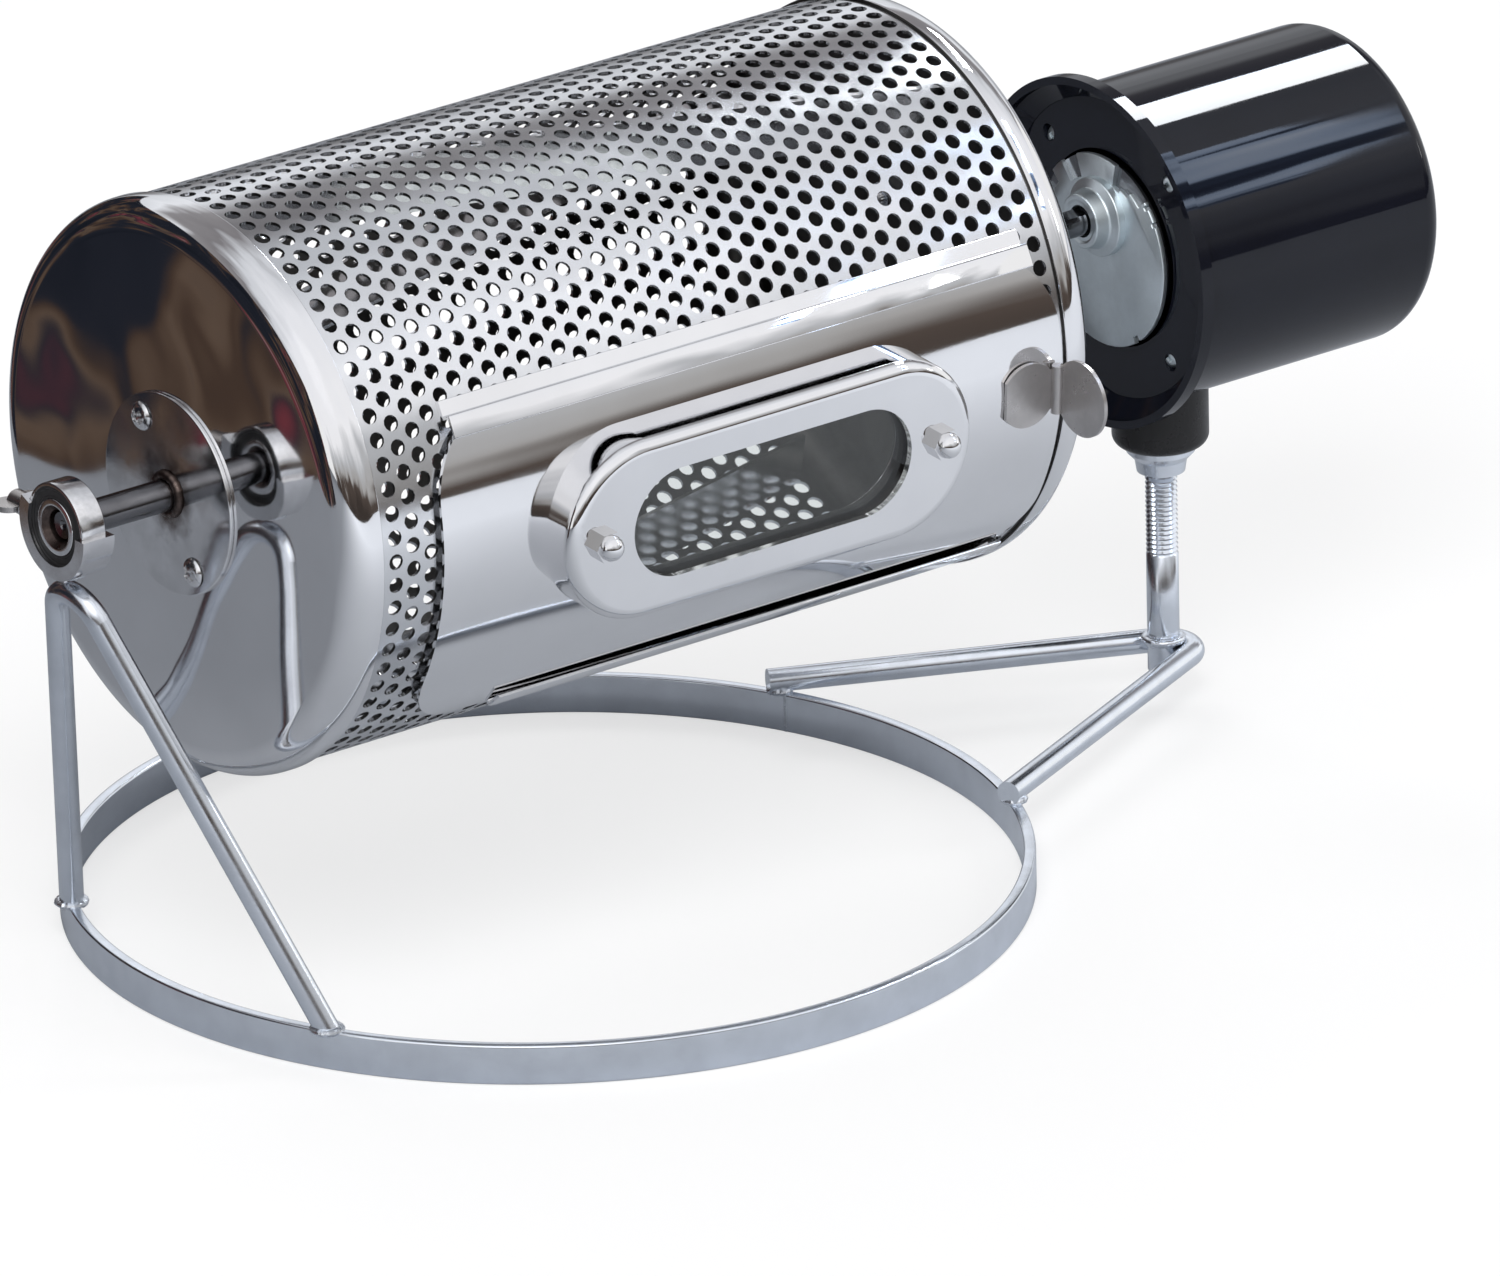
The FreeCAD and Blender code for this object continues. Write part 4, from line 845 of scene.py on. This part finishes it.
class ROASTER_OT_screws(bpy.types.Operator):
    """Set the cross-head screws of the hub plates and the motor's front ring"""

    bl_idname = "roaster.screws"
    bl_label = "Cross-head screws"

    def execute(self, context):
        size = sizes()
        head = size.screw_head
        height = size.screw_height
        low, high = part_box("hub_screws")
        middle = (low + high) / 2
        y_off = (high.y - low.y - head) / 2
        z_off = (high.z - low.z - head) / 2
        forms = []
        for face, way in ((low.x + height, ALONG), (high.x - height, -ALONG)):
            for sign in (1, -1):
                at = Vector((face, middle.y + sign * y_off, middle.z + sign * z_off))
                forms.append(cross_screw(at, way, size.hub_screw_length))
        new_piece("hub_cross_screws", joined(*forms), "polished_steel", "drum", ("hub_screws",))
        low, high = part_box("front_ring_screws")
        middle = (low + high) / 2
        off = (high.z - low.z - head) / 2
        forms = []
        for a in (1, -1):
            for b in (1, -1):
                at = Vector((low.x + height, middle.y + a * off, middle.z + b * off))
                forms.append(cross_screw(at, ALONG, size.ring_screw_length))
        new_piece("ring_cross_screws", joined(*forms), "zinc_plate", "stand", ("front_ring_screws",))
        return {"FINISHED"}


# The stand

class ROASTER_OT_stand(bpy.types.Operator):
    """Roll the hoop and the post's thread, and lay the weld beads"""

    bl_idname = "roaster.stand"
    bl_label = "Stand"

    def execute(self, context):
        size = sizes()
        low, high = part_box("base_ring")
        radius = (high.x - low.x) / 2
        centre = Vector(((low.x + high.x) / 2, 0, 0))
        height = high.z - low.z
        bar = size.bar_thick
        rod = size.rod_radius
        thick = size.weld_thick
        edge = 0.6 * MM
        profile = eased([
            (0, radius - bar, edge), (0, radius, edge), (height, radius, edge), (height, radius - bar, edge),
        ], steps=4)
        new_piece("hoop", turned(profile, centre, UP, 256), "zinc_steel", "stand", ("base_ring",))
        middle = radius - bar / 2
        post_low, post_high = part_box("motor_post")
        post = Vector(((post_low.x + post_high.x) / 2, 0, 0))
        post_radius = (post_high.x - post_low.x) / 2
        saddle_low, saddle_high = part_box("bearing_saddle")
        apex = Vector(((saddle_low.x + saddle_high.x) / 2, 0, saddle_low.z + 0.5 * MM))
        # Each weld: its place, its radius, the bead's thickness, its seed and how flat it lies.
        welds = []
        for sign in (1, -1):
            leg = Vector((-math.cos(size.leg_foot_turn), sign * math.sin(size.leg_foot_turn), 0))
            brace = Vector((math.cos(size.brace_foot_turn), sign * math.sin(size.brace_foot_turn), 0))
            brace_foot = centre + brace * middle + UP * (height + 0.6 * MM)
            welds.append((centre + leg * middle + UP * height, rod, thick, 5.0 * sign, 0.7))
            welds.append((brace_foot, rod * 0.7, thick, 8.0 * sign, 0.8))
        post_foot = post + UP * (height + 2 * rod + 0.4 * MM)
        welds.append((post_foot, post_radius + 0.5 * MM, thick * 0.8, 11.0, 1.0))
        welds.append((apex, 3.1 * MM, thick, 14.0, 0.6))
        beads = [lumpy_ring(at, UP, reach, bead, seed, flat=flat) for at, reach, bead, seed, flat in welds]
        seam_way = Vector((math.cos(size.seam_turn), math.sin(size.seam_turn), 0))
        seam_side = UP.cross(seam_way)
        half_across = 0.5 * MM
        half_deep = bar / 2 + 0.15 * MM
        corners = eased([(a * half_across, b * half_deep, 0.4 * MM)
                         for a, b in ((-1, -1), (1, -1), (1, 1), (-1, 1))], steps=4)

        def on_seam(point, rise):
            return centre + seam_way * (middle + point[1]) + seam_side * point[0] + UP * rise

        beads.append(swept(corners, on_seam, [0.2 * MM, height]))
        new_piece("weld_beads", joined(*beads), "zinc_steel", "stand", look="weld_metal")
        thread_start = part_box("post_collar")[0].z - size.thread_length - post_low.z
        total = post_high.z - post_low.z
        root = post_radius - 0.55 * MM
        chamfer = 0.4 * MM
        line = [(0, 0), (0, post_radius - chamfer), (chamfer, post_radius), (thread_start, post_radius)]
        for k in range(int((total - thread_start) / size.thread_pitch)):
            base = thread_start + k * size.thread_pitch
            line.append((base + size.thread_pitch * 0.4, root))
            line.append((base + size.thread_pitch * 0.9, post_radius))
        line += [(total, root), (total, 0)]
        new_piece("threaded_post", turned(line, post + UP * post_low.z, UP, 48), "zinc_steel", "stand",
                  ("motor_post",), crease=50)
        return {"FINISHED"}


class ROASTER_OT_frame_finishes(bpy.types.Operator):
    """Give every CAD node that shows the finish of its slot"""

    bl_idname = "roaster.frame_finishes"
    bl_label = "Frame finishes"

    def execute(self, context):
        for name, item in NODES.items():
            material = finish(SLOT_OF[name])
            for place in item.material_slots:
                place.material = material
        return {"FINISHED"}


# The stage

class ROASTER_OT_stage(bpy.types.Operator):
    """Lay the floor, hang the lamps and set the camera"""

    bl_idname = "roaster.stage"
    bl_label = "Stage"

    def execute(self, context):
        lay_floor()
        hang_surround()
        hang_cards()
        hang_lamps()
        light_world()
        set_camera()
        context.scene.view_settings.view_transform = "Standard"
        return {"FINISHED"}


def flat_mesh(name, corners):
    """A mesh of one face with four corners."""
    mesh = bpy.data.meshes.new(name)
    mesh.from_pydata(corners, [], [(0, 1, 2, 3)])
    return mesh


def lay_floor():
    """A white floor; in reflections its colour is painted darker, most behind the roaster and less in front,
    as painted shade.
    """
    half = 12.0
    front_right = (0.6, -0.8, 0)
    mesh = flat_mesh("floor", [(-half, -half, 0), (half, -half, 0), (half, half, 0), (-half, half, 0)])
    floor = placed("floor", mesh)
    material = bpy.data.materials.new("floor_paper")
    material.use_nodes = True
    tree = material.node_tree
    shader = tree.nodes["Principled BSDF"]
    path = add_node(tree, "ShaderNodeLightPath")
    where = add_node(tree, "ShaderNodeTexCoord").outputs["Object"]
    forward = add_node(tree, "ShaderNodeVectorMath", {0: where, 1: front_right}, operation="DOT_PRODUCT")
    # Painted shade: glossy rays see the floor darker behind the roaster.
    reach = range_of(tree, forward.outputs["Value"], -0.3, 0.5, 0.0, 1.0)
    mirrored = mixed(tree, reach, shade(colours().back_floor, 1.0), shade(colours().front_floor, 1.0))
    tint = mixed(tree, path.outputs["Is Glossy Ray"], shade(colours().floor, 1.0), mirrored)
    tree.links.new(tint, shader.inputs["Base Color"])
    shader.inputs["Roughness"].default_value = 0.9
    white = add_node(tree, "ShaderNodeEmission", {"Color": (1, 1, 1, 1), "Strength": 1.0})
    seen = reckoned(tree, "MAXIMUM", path.outputs["Is Camera Ray"], path.outputs["Is Transmission Ray"])
    share = reckoned(tree, "MULTIPLY", seen, 0.6)
    blend = add_node(tree, "ShaderNodeMixShader", {0: share, 1: shader.outputs[0], 2: white.outputs[0]})
    tree.links.new(blend.outputs[0], tree.nodes["Material Output"].inputs["Surface"])
    mesh.materials.append(material)


def only_mirrored(item):
    """A stage piece that nothing but a reflection sees."""
    item.visible_camera = False
    item.visible_diffuse = False
    item.visible_transmission = False
    item.visible_shadow = False


def paper(name, ramp_stops, strength, value_of):
    """A glowing stage paper whose colour runs along a ramp."""
    material = bpy.data.materials.new(name)
    material.use_nodes = True
    tree = material.node_tree
    tree.nodes.remove(tree.nodes["Principled BSDF"])
    where = add_node(tree, "ShaderNodeTexCoord").outputs["Object"]
    ramp = add_node(tree, "ShaderNodeValToRGB", {0: value_of(tree, where)})
    stops = ramp.color_ramp.elements
    while len(stops) < len(ramp_stops):
        stops.new(0.5)
    for stop, (at, tint) in zip(stops, ramp_stops):
        stop.position = at
        stop.color = tuple(tint) + (1,)
    glow = add_node(tree, "ShaderNodeEmission", {"Color": ramp.outputs[0], "Strength": strength})
    tree.links.new(glow.outputs[0], tree.nodes["Material Output"].inputs["Surface"])
    return material


def hang_surround():
    """A wide half-round backdrop, dark at the horizon, with soft lighter and darker bands above."""
    radius = 1.5
    half = 4.0
    steps = 72
    verts = []
    for k in range(steps + 1):
        turn = math.pi * k / steps
        for x in (-half, half):
            verts.append((x, -radius * math.cos(turn), radius * math.sin(turn)))
    faces = [(2 * k, 2 * k + 1, 2 * k + 3, 2 * k + 2) for k in range(steps)]
    mesh = bpy.data.meshes.new("surround")
    mesh.from_pydata(verts, [], faces)
    surround = placed("surround", mesh)

    def round_the_axis(tree, where):
        parts = add_node(tree, "ShaderNodeSeparateXYZ", {0: where})
        front = reckoned(tree, "MULTIPLY", parts.outputs[1], -1.0)
        turn = reckoned(tree, "ARCTAN2", parts.outputs[2], front)
        soft = add_node(tree, "ShaderNodeTexNoise", {"Vector": where, "Scale": 1.7, "Detail": 2.0})
        drift = range_of(tree, soft.outputs[0], 0.3, 0.7, -0.14, 0.14)
        return range_of(tree, reckoned(tree, "ADD", turn, drift), 0.0, math.pi, 0.0, 1.0)

    bands = [
        (0.0, (0.05, 0.04, 0.035)), (0.06, (0.09, 0.07, 0.06)), (0.085, (0.42, 0.41, 0.40)),
        (0.13, (0.55, 0.56, 0.58)), (0.2, (1.0, 1.0, 1.02)), (0.42, (0.95, 0.96, 1.0)),
        (0.56, (0.72, 0.74, 0.78)), (0.64, (0.24, 0.23, 0.24)), (0.73, (0.30, 0.29, 0.30)),
        (0.8, (0.9, 0.92, 0.96)), (0.9, (0.7, 0.72, 0.76)), (1.0, (0.12, 0.11, 0.11)),
    ]
    mesh.materials.append(paper("surround_paper", bands, 1.0, round_the_axis))
    only_mirrored(surround)


def hang_card(name, centre, across, upward, width, height, stops, strength, scale):
    """A flat card of uneven colour that the metal mirrors."""
    centre = Vector(centre)
    side = Vector(across).normalized() * (width / 2)
    rise = Vector(upward).normalized() * (height / 2)
    mesh = flat_mesh(name, [
        centre - side - rise, centre + side - rise, centre + side + rise, centre - side + rise])

    def cloudy(tree, where):
        cloud = add_node(tree, "ShaderNodeTexNoise", {
            "Vector": where, "Scale": scale, "Detail": 3.0, "Distortion": 0.6})
        return range_of(tree, cloud.outputs[0], 0.3, 0.7, 0.0, 1.0)

    mesh.materials.append(paper(name + "_paper", stops, strength, cloudy))
    only_mirrored(placed(name, mesh))


def hang_cards():
    """A dark card behind the left cap, and the lights that the motor's enamel mirrors."""
    dark_goods = [
        (0.0, (0.010, 0.012, 0.018)), (0.42, (0.016, 0.018, 0.026)), (0.54, (0.06, 0.038, 0.028)),
        (0.64, (0.11, 0.075, 0.055)), (0.72, (0.02, 0.02, 0.028)), (0.84, (0.16, 0.035, 0.045)),
        (1.0, (0.2, 0.16, 0.15)),
    ]
    cold_light = [(0.0, (0.75, 0.85, 1.0)), (0.5, (0.9, 0.95, 1.0)), (1.0, (1.0, 1.0, 1.0))]
    clouded = [
        (0.0, (0.0, 0.0, 0.0)), (0.42, (0.02, 0.03, 0.05)), (0.52, (0.4, 0.5, 0.68)),
        (1.0, (0.62, 0.7, 0.85)),
    ]
    hang_card("left_goods", centre=(-0.372, 0.279, 0.2), across=(0.797, 0.604, 0), upward=(0, 0, 1),
              width=1.3, height=0.4, stops=dark_goods, strength=1.0, scale=9.0)
    hang_card("motor_high_light", centre=(0.86, 0.40, 1.04), across=(1, 0, 0), upward=(0, 0.738, -0.378),
              width=0.15, height=0.42, stops=cold_light, strength=26.0, scale=3.0)
    hang_card("motor_front_light", centre=(0.85, -0.62, 0.95), across=(1, 0, 0), upward=(0, 0.668, 0.497),
              width=0.13, height=0.75, stops=clouded, strength=9.0, scale=4.0)


def hang_lamps():
    """Three soft lamps, each with its place and size in metres and its power in watts."""
    lamps = [
        ("key_lamp", (-1.3, -1.5, 2.1), (1.3, 1.3), 42),
        ("side_lamp", (2.2, -1.2, 1.4), (0.5, 1.6), 16),
        ("back_lamp", (0.6, 2.0, 1.6), (1.6, 0.5), 14),
    ]
    aim = Vector((0, 0, 0.1))
    for name, at, (width, height), power in lamps:
        lamp = bpy.data.lights.new(name, "AREA")
        lamp.shape = "RECTANGLE"
        lamp.size = width
        lamp.size_y = height
        lamp.energy = power
        item = placed(name, lamp)
        item.location = at
        item.rotation_euler = (aim - Vector(at)).to_track_quat("-Z", "Y").to_euler()


def light_world():
    """A soft grey light all round, white where the lens, a reflection or the glass looks out."""
    world = bpy.data.worlds.new("studio")
    bpy.context.scene.world = world
    world.use_nodes = True
    tree = world.node_tree
    path = add_node(tree, "ShaderNodeLightPath")
    seen = path.outputs["Is Camera Ray"]
    for word in ("Is Glossy Ray", "Is Transmission Ray"):
        seen = reckoned(tree, "MAXIMUM", seen, path.outputs[word])
    tint = mixed(tree, seen, (0.58, 0.58, 0.59, 1), (1, 1, 1, 1))
    tree.links.new(tint, tree.nodes["Background"].inputs["Color"])


def set_camera():
    """A long lens from the front left, a little above, as in the photograph."""
    turn = math.radians(-37.13)
    rise = math.radians(22.02)
    roll = math.radians(-1.31)
    distance = 5.4923
    target = Vector((11.3 * MM, 0, 49.9 * MM))
    toward = Vector((math.sin(turn) * math.cos(rise), -math.cos(turn) * math.cos(rise), math.sin(rise)))
    right = (-toward).cross(UP).normalized()
    top = right.cross(-toward)
    across = right * math.cos(roll) + top * math.sin(roll)
    above = top * math.cos(roll) - right * math.sin(roll)
    lens = bpy.data.cameras.new("camera")
    lens.sensor_width = 36.0
    lens.lens = 544.05
    lens.clip_end = 40
    camera = placed("camera", lens)
    camera.matrix_world = Matrix.Translation(target + toward * distance) @ Matrix(
        (across, above, toward)).transposed().to_4x4()
    bpy.context.scene.camera = camera


STEPS = ("stage", "frame_finishes", "sheet", "caps", "rails", "bearing", "gearbox", "screws", "stand")


class ROASTER_PT_panel(bpy.types.Panel):
    """The roaster's pieces and sizes, in the 3D view's sidebar"""

    bl_idname = "ROASTER_PT_panel"
    bl_label = "Coffee bean roaster"
    bl_space_type = "VIEW_3D"
    bl_region_type = "UI"
    bl_category = "Roaster"

    def draw(self, context):
        for step in STEPS:
            self.layout.operator("roaster." + step)
        for group in (context.scene.roaster_sizes, context.scene.roaster_colours):
            for name in group.bl_rna.properties.keys():
                if name not in ("rna_type", "name"):
                    self.layout.prop(group, name)


CLASSES = (
    RoasterSizes, RoasterColours, ROASTER_OT_stage, ROASTER_OT_frame_finishes, ROASTER_OT_sheet,
    ROASTER_OT_caps, ROASTER_OT_rails, ROASTER_OT_bearing, ROASTER_OT_gearbox, ROASTER_OT_screws,
    ROASTER_OT_stand, ROASTER_PT_panel,
)


def register():
    for item in CLASSES:
        bpy.utils.register_class(item)
    bpy.types.Scene.roaster_sizes = bpy.props.PointerProperty(type=RoasterSizes)
    bpy.types.Scene.roaster_colours = bpy.props.PointerProperty(type=RoasterColours)


def unregister():
    del bpy.types.Scene.roaster_colours
    del bpy.types.Scene.roaster_sizes
    for item in reversed(CLASSES):
        bpy.utils.unregister_class(item)


def main():
    register()
    for step in STEPS:
        getattr(bpy.ops.roaster, step)()


if __name__ == "__main__":
    main()
